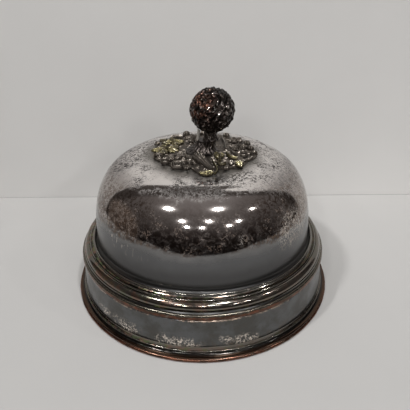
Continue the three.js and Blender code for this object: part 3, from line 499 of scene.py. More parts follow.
def skirt_plate():
    """Dull blue-grey band: pale wormy wear near its foot and a bare ragged seam along its top."""
    m = Surface("skirt_silver")
    height = m.split()[2]
    cloud = m.noise(22, 5, 0.6)
    colour = m.colours(m.step(cloud, 0.36, 0.64), (0.15, 0.154, 0.157), (0.108, 0.106, 0.1))
    brown = m.step(m.noise(8, 5, 0.65), 0.5, 0.66)
    low = m.step(height, SKIRT_BOTTOM + 5, SKIRT_BOTTOM + 18, 1, 0.12)
    colour = m.over(colour, (0.15, 0.11, 0.08), brown, low, 0.7)
    net = m.step(m.cell_edges(2.6), 0.07, 0.13, 1, 0)
    worm = m.either(m.both(net, m.step(m.noise(2.6, 3, 0.6), 0.46, 0.5)),
                    m.step(m.noise(1.5, 3, 0.6, 0.9), 0.6, 0.615))
    worm = m.both(worm, m.step(m.noise(4.2, 3, 0.6), 0.44, 0.48))
    worn_at = (((-30, -128, 13), 10, 20), ((-12, -130, 12), 6, 13), ((34, -127, 14), 7, 15),
               ((-70, -110, 20), 8, 17), ((-96, -88, 24), 5, 14))
    places = m.either(*(m.near(*place) for place in worn_at), m.step(m.noise(24, 2, 0.5), 0.6, 0.68))
    places = m.both(places, m.fade(height, SKIRT_BOTTOM + 15, SKIRT_BOTTOM + 24))
    flecks = m.both(worm, places)
    colour = m.over(colour, (0.68, 0.6, 0.52), flecks, 0.97)
    spots = m.step(m.noise(1.6, 4, 0.7), 0.61, 0.66)
    colour = m.over(colour, (0.05, 0.04, 0.033), spots, 0.5)
    edge = m.ragged(height, m.noise(1.6, 3, 0.6), 1.1)
    worn = m.step(m.noise(13, 4, 0.65), 0.44, 0.56)
    seam = m.both(m.step(edge, SKIRT_TOP - 1.4, SKIRT_TOP - 0.9), worn)
    colour = m.over(colour, (0.56, 0.44, 0.35), seam, 0.9)
    metal = m.step(flecks, 0, 1, 1, 0.25)
    return m.finish(colour, m.step(cloud, 0.35, 0.65, 0.3, 0.38), m.noise(1.2, 4, 0.65), 0.01, metal)


def struck_moulding():
    """Struck mouldings: dark grooves, ridges rubbed bright, with copper and a green film in places, and a
    painted dark reflection in the foot's hollow below its ridge.
    """
    m = Surface("moulding_silver")
    across = m.split()[0]
    height = m.split()[2]
    grain = m.noise(1.6, 4, 0.65)
    ragged = m.ragged(m.wear(), grain, 0.05)
    colour = m.colours(m.step(ragged, 0.36, 0.5), (0.04, 0.033, 0.025), (0.175, 0.16, 0.142))
    left = m.step(across, -60, 50, 1, 0.3)
    patch = m.both(m.step(m.noise(10, 5, 0.65), 0.47, 0.56), left)
    colour = m.over(colour, (0.24, 0.15, 0.115), patch, 0.85)
    film = m.both(m.step(m.noise(6, 4, 0.65), 0.5, 0.58), m.step(ragged, 0.46, 0.6, 1, 0.3), left)
    colour = m.over(colour, (0.135, 0.18, 0.085), film, 0.8)
    colour = m.over(colour, (0.23, 0.22, 0.198), m.step(ragged, 0.62, 0.76), 0.7)
    # Painted dark reflection: everything on the foot below its ridge, in the hollow cavetto, is darkened to
    # near black
    ridge = SKIRT_BOTTOM + RIDGE_HEIGHT - RIDGE_RADIUS
    colour = m.over(colour, (0.026, 0.025, 0.024), m.fade(height, ridge - 0.6, ridge), 0.92)
    lip = m.fade(height, SKIRT_BOTTOM + 0.9, SKIRT_BOTTOM + 1.8)
    colour = m.over(colour, (0.11, 0.064, 0.042), lip, 0.85)
    return m.finish(colour, m.step(m.noise(5, 4, 0.65), 0.42, 0.6, 0.11, 0.2), grain, 0.002)


def worn_copper():
    """Bead and rim worn down to the copper, brown in the hollows."""
    m = Surface("bare_copper")
    wear = m.wear()
    grain = m.noise(1.8, 4, 0.65)
    patch = m.step(m.noise(9, 5, 0.65), 0.42, 0.56)
    colour = m.colours(patch, (0.175, 0.078, 0.05), (0.09, 0.052, 0.037))
    plated = m.step(m.noise(5, 4, 0.65, 0.4), 0.6, 0.66)
    colour = m.over(colour, (0.24, 0.2, 0.165), plated, 0.6)
    middle = BEAD_BOTTOM + 0.74 * (BEAD_TOP - BEAD_BOTTOM)
    edge = m.ragged(m.split()[2], m.noise(7, 4, 0.6), 0.8)
    colour = m.over(colour, (0.15, 0.14, 0.115), m.step(edge, middle - 0.4, middle + 0.2), 0.9)
    colour = m.colours(m.step(wear, 0.42, 0.56, 0.9, 0), colour, (0.04, 0.03, 0.024))
    return m.finish(colour, m.step(grain, 0.3, 0.7, 0.16, 0.3), grain, 0.018)


def cast_metal(name, hollow, body, ridge, rough=0.36, depth=0.03, rubbed=0.8, film=None, metal=1.0):
    """Cast and chased metal: dark in the hollows, its ridges rubbed bright, a coloured film in patches."""
    m = Surface(name)
    grain = m.noise(1.1, 4, 0.7)
    patch = m.step(m.noise(6, 4, 0.6), 0.4, 0.62)
    ragged = m.ragged(m.wear(), grain, 0.14)
    colour = m.colours(patch, body, [0.66 * value for value in body])
    if film:
        colour = m.colours(m.step(m.noise(5, 4, 0.65), 0.42, 0.52), colour, film)
    colour = m.colours(m.step(ragged, 0.12, 0.42, 0.9, 0), colour, hollow)
    bright = m.both(m.step(ragged, rubbed, rubbed + 0.1), m.step(patch, 0, 1, 1, 0.6))
    colour = m.colours(bright, colour, ridge)
    return m.finish(colour, m.step(ragged, 0.2, 0.9, rough * 1.4, rough * 0.7), grain, depth, metal)


def cast_fruit():
    """Nearly black fruit, red-brown high on one side, its rubbed knobs pale, with more pale knobs in a patch
    in front beside the seam as painted glints.
    """
    m = Surface("cast_fruit")
    grain = m.noise(1.1, 4, 0.7)
    ragged = m.ragged(m.wear(), grain, 0.14)
    red = m.both(m.near(FINIAL_CENTRE + Vector((-13, -12, 9)), 5, 24), m.step(m.noise(5, 4, 0.6), 0.4, 0.54))
    colour = m.colours(red, (0.036, 0.029, 0.026), (0.125, 0.06, 0.042))
    colour = m.colours(m.step(ragged, 0.15, 0.5, 0.9, 0), colour, (0.01, 0.008, 0.007))
    # Painted highlight: a patch in front beside the seam where more knobs get the pale rubbed colour, to
    # paint a cluster of glints
    painted_glint_patch = m.near(FINIAL_CENTRE + Vector((6, -19, 6)), 4, 16)
    rubbed = m.math("ADD", ragged, m.both(painted_glint_patch, 0.13))
    colour = m.colours(m.step(rubbed, 0.74, 0.88, 0, 0.9), colour, (0.5, 0.45, 0.42))
    return m.finish(colour, m.step(ragged, 0.3, 0.8, 0.32, 0.15), grain, 0.03)


def turned_brass():
    m = Surface("inner_brass")
    patch = m.step(m.noise(5, 5, 0.65), 0.4, 0.62)
    grain = m.noise(0.8, 4, 0.7)
    colour = m.colours(patch, (0.5, 0.38, 0.18), (0.3, 0.23, 0.12))
    colour = m.colours(m.step(grain, 0.58, 0.66, 0, 0.7), colour, (0.12, 0.09, 0.05))
    return m.finish(colour, m.step(grain, 0.3, 0.7, 0.28, 0.45), grain, 0.02)


# Body

def crown_height(radius):
    spread = min(radius / DOME_RADIUS, 1) ** WALL_POWER
    return WALL_BASE + DOME_RISE * max(1 - spread, 0) ** (1 / CROWN_POWER)


slope_foot = Vector((FLANGE_RADIUS, BEAD_TOP))
slope_head = Vector((DOME_RADIUS + COVE_RADIUS * (1 - math.cos(COVE_ANGLE)), BEAD_TOP + SLOPE_RISE))
down_slope = (slope_foot - slope_head).normalized()
off_slope = Vector((-down_slope.y, down_slope.x))


def on_slope(along, off):
    return tuple(slope_head + down_slope * along + off_slope * off)


def offset(line, distance):
    result = []
    for i, point in enumerate(line):
        before = line[max(i - 1, 0)]
        after = line[min(i + 1, len(line) - 1)]
        along = (Vector(after) - Vector(before)).normalized()
        result.append((point[0] - along.y * distance, point[1] + along.x * distance))
    return result


def dome_section():
    slope_angle = math.degrees(math.atan2(slope_head.y - slope_foot.y, slope_head.x - slope_foot.x))
    line = [(FLANGE_RADIUS, SKIRT_TOP - FLANGE_LAP)]
    line += arc(FLANGE_RADIUS - SHOULDER_ROUND, BEAD_TOP - SHOULDER_ROUND, SHOULDER_ROUND,
                0, slope_angle - 90, 6)
    cove_start = 180 + math.degrees(COVE_ANGLE)
    line += arc(DOME_RADIUS + COVE_RADIUS, WALL_BASE, COVE_RADIUS, cove_start, 180, 8)
    steps = 1200
    fine = []
    for k in range(1, steps):
        angle = math.pi / 2 * k / steps
        radius = DOME_RADIUS * math.cos(angle) ** (2 / WALL_POWER)
        if radius < BORE:
            break
        fine.append((radius, crown_height(radius)))
    last = line[-1]
    for point in fine:
        if math.dist(point, last) > DOME_STEP:
            line.append(point)
            last = point
    line.append((BORE, crown_height(BORE)))
    return line + offset(line, SHEET)[::-1]


def dome_shift(angle, radius, height):
    """Small dents of a raised and much used sheet, fading out at the shoulder."""
    at = round_z(radius, angle, height)
    fade = limited((height - WALL_BASE) / 12) * limited((radius - 20) / 40)
    dent = DENT * rough_at(at, 44, 3.1) + 0.01 * rough_at(at, 15, 7.7) - DENT
    return (dent * fade, dent * fade * 0.5)


def make_dome(material):
    ring_piece("dome", "dome_shell", dome_section(), material, dome_shift, 35, segments=480)


def skirt_radius(height):
    return SKIRT_RADIUS - SKIRT_FLARE * (height - SKIRT_BOTTOM) / (SKIRT_TOP - SKIRT_BOTTOM)


def skirt_shift(angle, radius, height):
    """Dents that fade out at the foot, and a ragged upper edge."""
    at = round_z(radius, angle, height)
    dent = DENT * rough_at(at, 30, 1.3) + 0.05 * rough_at(at, 9, 4.4) - DENT
    ragged = SEAM_RAGGED * abs(rough_at(at, 2.2, 8.1)) if height > SKIRT_TOP - SHEET / 2 else 0
    return (dent * min((height - SKIRT_BOTTOM) / 8, 1), -ragged)


def make_skirt(material):
    section = [
        (SKIRT_RADIUS, SKIRT_BOTTOM),
        (skirt_radius(SKIRT_TOP - SHEET / 3), SKIRT_TOP - SHEET / 3),
        (skirt_radius(SKIRT_TOP) - SHEET / 3, SKIRT_TOP),
        (skirt_radius(SKIRT_TOP) - SHEET, SKIRT_TOP),
        (skirt_radius(SKIRT_TOP) - SHEET, SKIRT_TOP - FLANGE_LAP),
        (SKIRT_RADIUS - SHEET, SKIRT_BOTTOM),
    ]
    section = resample(section, SKIRT_STEP)
    ring_piece("skirt", "skirt_band", section, material, skirt_shift, 40)


def make_foot(material):
    bottom = SKIRT_BOTTOM
    ridge_z = bottom + RIDGE_HEIGHT
    ridge_r = skirt_radius(ridge_z) + RIDGE_PROJECTION - RIDGE_RADIUS
    lip = RIM_RADIUS - RIM_WIDTH * FOOT_LIP_AT
    section = [(SKIRT_RADIUS + GAP, bottom), (lip, bottom)]
    section += bezier([(lip, bottom + FOOT_LIP), (ridge_r + RIDGE_RADIUS, bottom + FOOT_LIP),
                       (ridge_r, ridge_z - RIDGE_RADIUS)], 10)
    section += arc(ridge_r, ridge_z, RIDGE_RADIUS, -70, 70, 6)
    section += bezier([(ridge_r, ridge_z + RIDGE_RADIUS),
                       (skirt_radius(ridge_z) + FOOT_TOP_EDGE, ridge_z + RIDGE_RADIUS),
                       (skirt_radius(FOOT_TOP) + GAP + FOOT_TOP_EDGE, FOOT_TOP)], 8)
    section.append((skirt_radius(FOOT_TOP) + GAP, FOOT_TOP))
    shift = uneven(-0.06, (0.06, 24, 2.2))
    ring_piece("foot", "foot_moulding", section, material, shift, 50)


def make_rim(material):
    section = []
    steps = 20
    for k in range(steps):
        angle = 2 * math.pi * (k + 0.5) / steps - math.pi / 2
        across = math.cos(angle) * RIM_WIDTH / 2
        up = math.sin(angle) * RIM_HEIGHT / 2 / math.cos(math.pi / steps)
        section.append((RIM_RADIUS - RIM_WIDTH / 2 + across, RIM_HEIGHT / 2 + up))
    shift = uneven(-RIM_DENT, (RIM_DENT, 12, 5.5), (0.1, 4, 1.9))
    ring_piece("rim", "rim_wire", section, material, shift, 80)


def upper_bead_shift(angle, radius, height):
    at = round_z(radius, angle, height)
    return (0.05 * rough_at(at, 12, 6.1), 0.03 * rough_at(at, 14, 2.6))


def make_upper_bead(material):
    section = arc(*on_slope(UPPER_BEAD_AT, GAP + UPPER_BEAD_RADIUS), UPPER_BEAD_RADIUS, 0, 345, 12)
    ring_piece("upper_bead", "shoulder_bead", section, material, upper_bead_shift, 80)


def make_torus(material):
    def at(along, height):
        return on_slope(along, GAP + height)

    end = TORUS_START + TORUS_LENGTH
    section = [at(TORUS_START, 0)]
    section += bezier([at(TORUS_START, TORUS_EDGE),
                       at((TORUS_START + TORUS_RIDGE_AT) / 2 + TORUS_EDGE, TORUS_EDGE),
                       at(TORUS_RIDGE_AT - TORUS_EDGE / 2, TORUS_RIDGE_HEIGHT)], 8)
    section.append(at(TORUS_RIDGE_AT, TORUS_RIDGE_HEIGHT + 0.05))
    section.append(at(TORUS_RIDGE_AT + TORUS_EDGE / 2, TORUS_RIDGE_HEIGHT))
    section += bezier([at(TORUS_GROOVE_AT, TORUS_GROOVE_HEIGHT), at(TORUS_PEAK_AT, TORUS_PEAK),
                       at(end - TORUS_FALL, TORUS_CREST),
                       at(end - TORUS_LOW_GROOVE, TORUS_LOW_GROOVE_HEIGHT)], 16)
    section.append(at(end - TORUS_LOW_RIDGE, TORUS_LOW_RIDGE_HEIGHT))
    section += [at(end, TORUS_END_HEIGHT), at(end, 0)]
    shift = uneven(0, (0.05, 26, 4.8))
    ring_piece("torus", "shoulder_torus", section, material, shift, 55)


def make_lower_bead(material):
    back = FLANGE_RADIUS + GAP
    section = [(back, BEAD_BOTTOM)]
    steps = 14
    for k in range(steps + 1):
        angle = math.pi * k / steps - math.pi / 2
        bulge = math.cos(angle) ** 0.8 if 0 < k < steps else 0
        out = BEAD_EDGE + (BEAD_PROJECTION - BEAD_EDGE) * bulge
        section.append((back + out, BEAD_BOTTOM + (BEAD_TOP - BEAD_BOTTOM) * (1 + math.sin(angle)) / 2))
    section.append((back, BEAD_TOP))
    shift = uneven(-DENT, (DENT, 5, 7.3))
    ring_piece("bead", "lower_bead", section, material, shift, 55)


# Finial: a ball with a winding, knobbly surface, cut along its seam

def finial_worm(direction):
    """1 on the winding ridges of the fruit, 0 between them."""
    at = direction * FINIAL_RADIUS
    bent = at + 1.5 * Vector([rough_at(at, 5, seed) for seed in (1.0, 2.0, 3.0)])
    return bell(rough_at(bent, 4.8, 5.0), 0.26) * (0.66 + 0.5 * rough_at(at, 3.2, 8.0))


def make_ball_part(name, node, side, extra, material):
    """The fruit on one side of its seam; side is -1 for the body, which has ribs beside the seam."""
    bm = bmesh.new()
    bmesh.ops.create_icosphere(bm, subdivisions=7, radius=1)
    for vertex in bm.verts:
        direction = vertex.co.normalized()
        at = direction * FINIAL_RADIUS
        across = direction.dot(SEAM_NORMAL) * FINIAL_RADIUS - SEAM_DISTANCE
        worm = finial_worm(direction)
        if side < 0:
            banded = bell(across + 4, 4.5)
            ribs = 0.5 + 0.5 * math.cos(across * 2.1 + 1.4 * rough_at(at, 5, 4.0))
            worm = worm * (1 - 0.75 * banded) + ribs * 0.75 * banded
        reach = FINIAL_RADIUS - KNOB_FOOT + KNOB_HEIGHT * worm + 0.7 * rough_at(at, 5.2, 8.0) + extra
        vertex.co = FINIAL_CENTRE + direction * (reach - SEAM_GROOVE * bell(across, SEAM_GROOVE_WIDTH))
    bmesh.ops.bisect_plane(
        bm, geom=bm.verts[:] + bm.edges[:] + bm.faces[:],
        plane_co=FINIAL_CENTRE + SEAM_NORMAL * (SEAM_DISTANCE + side * GAP / 2),
        plane_no=SEAM_NORMAL, clear_outer=side < 0, clear_inner=side > 0,
    )
    bmesh.ops.holes_fill(bm, edges=[edge for edge in bm.edges if edge.is_boundary])
    bmesh.ops.recalc_face_normals(bm, faces=bm.faces)
    bm.verts.ensure_lookup_table()
    bm.verts.index_update()
    vertices = [vertex.co.copy() for vertex in bm.verts]
    faces = [[vertex.index for vertex in face.verts] for face in bm.faces]
    bm.free()
    wear = [finial_worm((vertex - FINIAL_CENTRE).normalized()) for vertex in vertices]
    make_piece(name, node, vertices, faces, material, wear, 60)


# Crown mount

def edge_inset(x, y):
    angle = math.atan2(y, x)
    from_front = angle + math.pi / 2 - PLATE_TURN
    notch = PLATE_LOBE_DEPTH * (1 - abs(math.cos(PLATE_LOBES * from_front / 2)))
    cut = PLATE_FRONT_CUT * max(-math.sin(angle), 0) ** 2
    front_lobe = FRONT_LOBE_REACH * bell(from_front, FRONT_LOBE_SPREAD)
    return notch + cut - front_lobe - PLATE_SHIFT * math.cos(angle)


def plate_top(x, y):
    radius = math.hypot(x, y)
    swell = PLATE_SWELL * bell(radius, PLATE_SWELL_RADIUS)
    rounded = min(radius / PLATE_RADIUS, 1) ** 6
    thickness = PLATE_THICKNESS + (PLATE_EDGE - PLATE_THICKNESS) * rounded
    return crown_height(radius) + GAP + thickness + swell


RELIEF_RIDGE = 0.7
RELIEF_GRAIN = 0.12
RELIEF_SINK = 0.6
CURL_COUNT = 90
CURL_SIZE = 2.7
CURL_FIELD = 0.97
CURL_REACH = 5.5
CURL_WIDTH = 0.34
CURL_RISE = 0.4


def make_curls():
    """Places, sizes and turns of the small curls cast all over the plate and its castings."""
    curls = []
    golden = math.pi * (3 - math.sqrt(5))
    for k in range(CURL_COUNT):
        reach = math.sqrt((k + 0.5) / CURL_COUNT) * PLATE_RADIUS * CURL_FIELD
        angle = k * golden + 0.3 * math.sin(k * 2.7)
        size = CURL_SIZE + math.sin(k * 1.9)
        curls.append((reach * math.cos(angle), reach * math.sin(angle), size, k * 1.7, 1 if k % 2 else -1))
    return curls


CURLS = make_curls()


def curl_relief(x, y):
    """Height from 0 to 1 of the nearest spiral ridge."""
    best = 0.0
    for at_x, at_y, size, turn, way in CURLS:
        dx = x - at_x
        dy = y - at_y
        if abs(dx) > CURL_REACH or abs(dy) > CURL_REACH:
            continue
        around = (way * math.atan2(dy, dx) + turn) % (2 * math.pi)
        for lap in (0, 1):
            line = size * (1.35 - 0.62 * (around / (2 * math.pi) + lap))
            if line > 0.4:
                best = max(best, bell(math.hypot(dx, dy) - line, CURL_WIDTH))
    return best


def plate_relief(x, y):
    """Height in millimetres and wear of the casting's small relief."""
    vein = bell(rough_at((x, y, 0), 7.0, 2.4), 0.07)
    fine = 0.5 + 0.5 * rough_at((x, y, 0), 1.3, 6.0)
    ridge = max(curl_relief(x, y), 0.75 * vein)
    return RELIEF_RIDGE * ridge + RELIEF_GRAIN * fine, limited(0.3 + ridge * 0.62 + 0.25 * (fine - 0.5))


def make_plate(material):
    rings = 150
    under_rings = 15
    segments = 900
    top = []
    under = []
    wear = []
    for angle in angles(segments):
        for k in range(rings + 1):
            reach = k / rings
            x, y = round_z(PLATE_BORE + (PLATE_RADIUS - PLATE_BORE) * reach, angle, 0)[:2]
            pull = 1 - edge_inset(x, y) / PLATE_RADIUS * reach ** 2
            x *= pull
            y *= pull
            relief, rubbed = plate_relief(x, y)
            fade = min((1 - reach) * 14, 1)
            top.append((x, y, plate_top(x, y) + (relief - RELIEF_SINK) * fade))
            wear.append(rubbed)
            if k % (rings // under_rings) == 0:
                under.append((x, y, crown_height(math.hypot(x, y)) + GAP))
    count = rings + 1
    low_count = under_rings + 1
    total = len(top)
    faces = []
    for i in range(segments):
        here = i * count
        there = ((i + 1) % segments) * count
        low_here = total + i * low_count
        low_there = total + ((i + 1) % segments) * low_count
        for k in range(rings):
            faces.append((here + k, here + k + 1, there + k + 1, there + k))
        for k in range(under_rings):
            faces.append((low_here + k, low_there + k, low_there + k + 1, low_here + k + 1))
        faces.append((here + rings, low_here + under_rings, low_there + under_rings, there + rings))
        faces.append((here, there, low_there, low_here))
    wear += [0.2] * len(under)
    make_piece("plate", "mount_plate", top + under, faces, material, wear, 75)


def make_column(name, node, vertices, wear, segments, material):
    """A body of upright rows of vertices round Z, closed at its foot and its head."""
    count = len(vertices) // segments
    faces = sweep_faces(segments, count, columns_close=False)
    faces.append([i * count + count - 1 for i in range(segments)])
    faces.append([i * count for i in range(segments - 1, -1, -1)])
    make_piece(name, node, vertices, faces, material, wear, 60)


BOSS_NECK = 8.9
BOSS_RIBS = 9
BOSS_TWIST = 0.12
BOSS_RELIEF = 0.95
BOSS_LEAN = 5.2


def make_boss(material):
    """Ribbed mound that the vine climbs, leafy between its ribs."""
    height = BOSS_TOP - BOSS_BOTTOM
    profile = bezier([(BOSS_RADIUS, 0), (13.2, 0.9), (10.6, 3.0), (9.4, 6.0), (BOSS_NECK, height)], 60)
    profile += [(BOSS_NECK * (1 - k / 8), height) for k in range(1, 8)]
    segments = 360
    vertices = []
    wear = []
    for angle in angles(segments):
        for radius, up in profile:
            waver = 0.8 * rough_at(round_z(3, angle, up), 3, 2.0)
            rib = abs(math.cos(BOSS_RIBS * (angle + BOSS_TWIST * up / height) + waver))
            leafy = bell(rough_at(round_z(radius, angle, up), 3.4, 9.0), 0.14)
            side = radius > BOSS_NECK - 0.1
            ridge = max(0.85 * rib ** 3, leafy) if side else 0.4
            out = BOSS_RELIEF * ridge - BOSS_RELIEF if side else 0
            x, y, z = round_z(radius + out, angle, BOSS_BOTTOM + up)
            vertices.append((x + BOSS_LEAN * up / height, y, z))
            wear.append(ridge * 0.75)
    make_column("boss", "stalk_boss", vertices, wear, segments, material)


NECK_RADIUS = 6.9
NECK_FLARE = 1.2
NECK_RIBS = 4
NECK_TWIST = 0.9
NECK_SHIFT = 1.2
NECK_SINK = 0.4


def make_stalk(material):
    """Twisted, ribbed neck between the mound and the fruit."""
    low, high = (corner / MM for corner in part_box("stalk"))
    middle = (low.x + high.x) / 2
    height = high.z - low.z
    segments = 240
    steps = 70
    vertices = []
    wear = []
    for angle in angles(segments):
        for k in range(steps + 1):
            up = height * k / steps
            waist = NECK_RADIUS + NECK_FLARE * (1 - k / steps) ** 2
            rib = abs(math.cos(NECK_RIBS * (angle + NECK_TWIST * k / steps))) ** 2
            knot = bell(rough_at(round_z(8, angle, up), 3.2, 4.4), 0.16)
            ridge = max(0.8 * rib, 0.8 * knot)
            x, y, z = round_z(waist + 0.9 * ridge - 0.95, angle, low.z + up)
            x = middle + x + NECK_SHIFT
            rest = FINIAL_RADIUS ** 2 - (x - FINIAL_CENTRE.x) ** 2 - y ** 2
            roof = FINIAL_CENTRE.z - math.sqrt(rest) + NECK_SINK if rest > 0 else z
            vertices.append((x, y, min(z, roof)))
            wear.append(ridge)
    make_column("neck", "stalk", vertices, wear, segments, material)


def spline(points, closed):
    """Points 0.25 mm apart on a smooth line through points given in shares of the mount's radius."""
    knots = [Vector((x, y)) * MOUNT_RADIUS for x, y in points]
    count = len(knots)
    result = []
    for i in range(count if closed else count - 1):
        if closed:
            a, b, c, d = (knots[(i + k) % count] for k in (-1, 0, 1, 2))
        else:
            a = knots[i - 1] if i > 0 else knots[0] * 2 - knots[1]
            b = knots[i]
            c = knots[i + 1]
            d = knots[i + 2] if i + 2 < count else knots[-1] * 2 - knots[-2]
        steps = max(2, int((c - b).length / 0.25))
        for k in range(steps):
            t = k / steps
            result.append(0.5 * ((2 * b) + (c - a) * t + (2 * a - 5 * b + 4 * c - d) * t * t
                                 + (3 * b - a - 3 * c + d) * t ** 3))
    if not closed:
        result.append(knots[-1])
    return result


def seat(x, y):
    return plate_top(x, y) + GAP


BRASSY = {"leaf_vine_tip", "leaf_right_low", "leaf_left", "leaf_back_left", "leaf_heart", "strand_front",
          "branch_right", "scroll_heart"}


def cast_piece(name, vertices, faces, wear, sharp, metals):
    slot = "cast_brassy" if name in BRASSY else "cast_dark"
    make_piece(name + "_cast", name, vertices, faces, metals[slot], wear, sharp)


def raised(name, metals, points, half, rise, across=14, closed=False, seed=0.0):
    """A casting raised along points; half and rise are its half width and height at a share of them."""
    line = spline(points, closed)
    rings = []
    wear = []
    count = len(line)
    places = [2 * j / across - 1 for j in range(across + 1)]
    for i, centre in enumerate(line):
        share = i / (count if closed else count - 1)
        before = line[i - 1] if i > 0 or closed else line[0]
        after = line[(i + 1) % count] if i + 1 < count or closed else line[-1]
        along = (after - before).normalized()
        side = Vector((-along.y, along.x))
        over = []
        under = []
        heights = [rise(share, v) for v in places]
        for v, height in zip(places, heights):
            point = centre + side * v * half(share)
            floor = seat(point.x, point.y)
            grain = 1 + 0.1 * rough_at((point.x, point.y, 0), 1.3, seed)
            over.append((point.x, point.y, floor + height * grain))
            under.append((point.x, point.y, floor))
        rings.append(over + under[::-1])
        least = min(heights)
        spread = max(max(heights) - least, 0.01)
        wear += [((height - least) / spread) ** 1.5 for height in heights] + [0.0] * (across + 1)
    size = len(rings[0])
    vertices = [vertex for ring in rings for vertex in ring]
    faces = sweep_faces(count, size, rows_close=closed)
    if not closed:
        faces.append(list(range(size)))
        last = (count - 1) * size
        faces.append([last + j for j in range(size - 1, -1, -1)])
    cast_piece(name, vertices, faces, wear, 60, metals)


LEAF_HALF_WIDTH = 5
LEAF_RISE = 3.6
STRAND_HALF_WIDTH = 1.05
STRAND_RISE = 2.4
SCROLL_HALF_WIDTH = 1.1
SCROLL_RISE = 2.6
RING_HALF_WIDTH = 1.1
RING_RISE = 2.8
BUD_RADIUS = 4.6
BUD_RISE = 4.6
VINE_HALF_WIDTH = 6.5
VINE_END_HALF_WIDTH = 1.9
VINE_RISE = 7.2
VINE_END_RISE = 2.4
VINE_LEAF_RISE = 4.2
VINE_LEAF_NOTCH = 0.38


def leaf(name, metals, points, width, height, notches):
    def half(share):
        body = math.sin(math.pi * min(0.08 + share * 0.88, 1)) ** 0.7
        return LEAF_HALF_WIDTH * width * body * (1 - 0.22 * abs(math.cos(math.pi * notches * share)))

    def rise(share, v):
        side = 0.16 * math.cos(2 * math.pi * (notches * 2 * share - abs(v) * 0.9)) * min(abs(v) * 3, 1)
        body = 1 - 0.55 * v * v - 0.28 * bell(v, 0.16) + side
        return LEAF_RISE * height * max(body, 0.25) * (0.55 + 0.45 * math.sin(math.pi * share))

    raised(name, metals, points, half, rise, seed=len(name))


def strand(name, metals, points, width, height, beads):
    def beading(share):
        return 0.66 + 0.34 * abs(math.sin(math.pi * beads * share)) if beads else 1

    def half(share):
        return STRAND_HALF_WIDTH * width * beading(share) * (0.75 + 0.25 * math.sin(math.pi * share))

    def rise(share, v):
        return STRAND_RISE * height * beading(share) * (0.35 + 0.65 * bell(v, 0.6))

    raised(name, metals, points, half, rise, across=12, seed=len(name))


def scroll(name, metals, at, outer, inner, start, sweep):
    def half(share):
        return SCROLL_HALF_WIDTH * (0.7 + 0.3 * math.sin(math.pi * share))

    def rise(share, v):
        return SCROLL_RISE * (0.3 + 0.7 * bell(v - 0.3, 0.4))

    points = []
    turns = 16
    for k in range(turns + 1):
        angle = math.radians(start + sweep * k / turns)
        radius = outer + (inner - outer) * k / turns
        points.append((at[0] + radius * math.cos(angle), at[1] + radius * math.sin(angle)))
    raised(name, metals, points, half, rise, seed=len(name))


def ring_flower(name, metals, at, radius, lobe, width):
    def half(share):
        return RING_HALF_WIDTH * width

    def rise(share, v):
        return RING_RISE * (0.45 + 0.55 * bell(abs(v) - 0.62, 0.24))

    points = []
    for angle in angles(32):
        reach = radius * (1 + lobe * math.cos(4 * angle + math.pi))
        points.append((at[0] + reach * math.cos(angle), at[1] + reach * math.sin(angle)))
    raised(name, metals, points, half, rise, across=18, closed=True, seed=len(name))


def domed(name, metals, at, reach_at, rise_at, rings=22, segments=120):
    """A closed cast dome on the mount; reach_at gives its outline, rise_at its height and wear."""
    at = (at[0] * MOUNT_RADIUS, at[1] * MOUNT_RADIUS)
    vertices = [(at[0], at[1], seat(*at) + rise_at(0, 0)[0])]
    under = [(at[0], at[1], seat(*at))]
    wear = [rise_at(0, 0)[1]]
    for k in range(1, rings + 1):
        for angle in angles(segments):
            dx, dy = reach_at(angle)
            x = at[0] + dx * k / rings
            y = at[1] + dy * k / rings
            grain = 1 + 0.08 * rough_at((x, y, 0), 1.4, len(name))
            rise, rubbed = rise_at(k / rings, angle)
            curl = curl_relief(x, y)
            vertices.append((x, y, seat(x, y) + rise * grain + CURL_RISE * (curl - 1)))
            under.append((x, y, seat(x, y)))
            wear.append(max(rubbed * 0.85, curl * 0.92))
    total = len(vertices)
    faces = []
    for i in range(segments):
        j = (i + 1) % segments
        faces.append((0, 1 + i, 1 + j))
        faces.append((total, total + 1 + j, total + 1 + i))
        for k in range(rings - 1):
            a = 1 + k * segments + i
            b = 1 + k * segments + j
            faces.append((a, a + segments, b + segments, b))
            faces.append((total + a, total + b, total + b + segments, total + a + segments))
        a = 1 + (rings - 1) * segments + i
        b = 1 + (rings - 1) * segments + j
        faces.append((a, total + a, total + b, b))
    cast_piece(name, vertices + under, faces, wear + [0.0] * total, 75, metals)


def bud(name, metals, at, size, height):
    radius = BUD_RADIUS * size

    def reach_at(angle):
        swell = radius * (1 - 0.14 * (1 - math.cos(5 * angle)))
        return swell * math.cos(angle), swell * math.sin(angle)

    def rise_at(share, angle):
        groove = bell(1 + math.cos(5 * angle), 0.35) * min(share * 3, 1)
        profile = max(1 - share ** 2.4, 0) ** 0.6 * 0.75 + 0.25
        eye = bell(share, 0.16)
        return (BUD_RISE * height * profile * (1 - 0.28 * groove) - 0.5 * eye,
                0.75 * (1 - groove) * (1 - share ** 3) * (1 - eye))

    domed(name, metals, at, reach_at, rise_at)


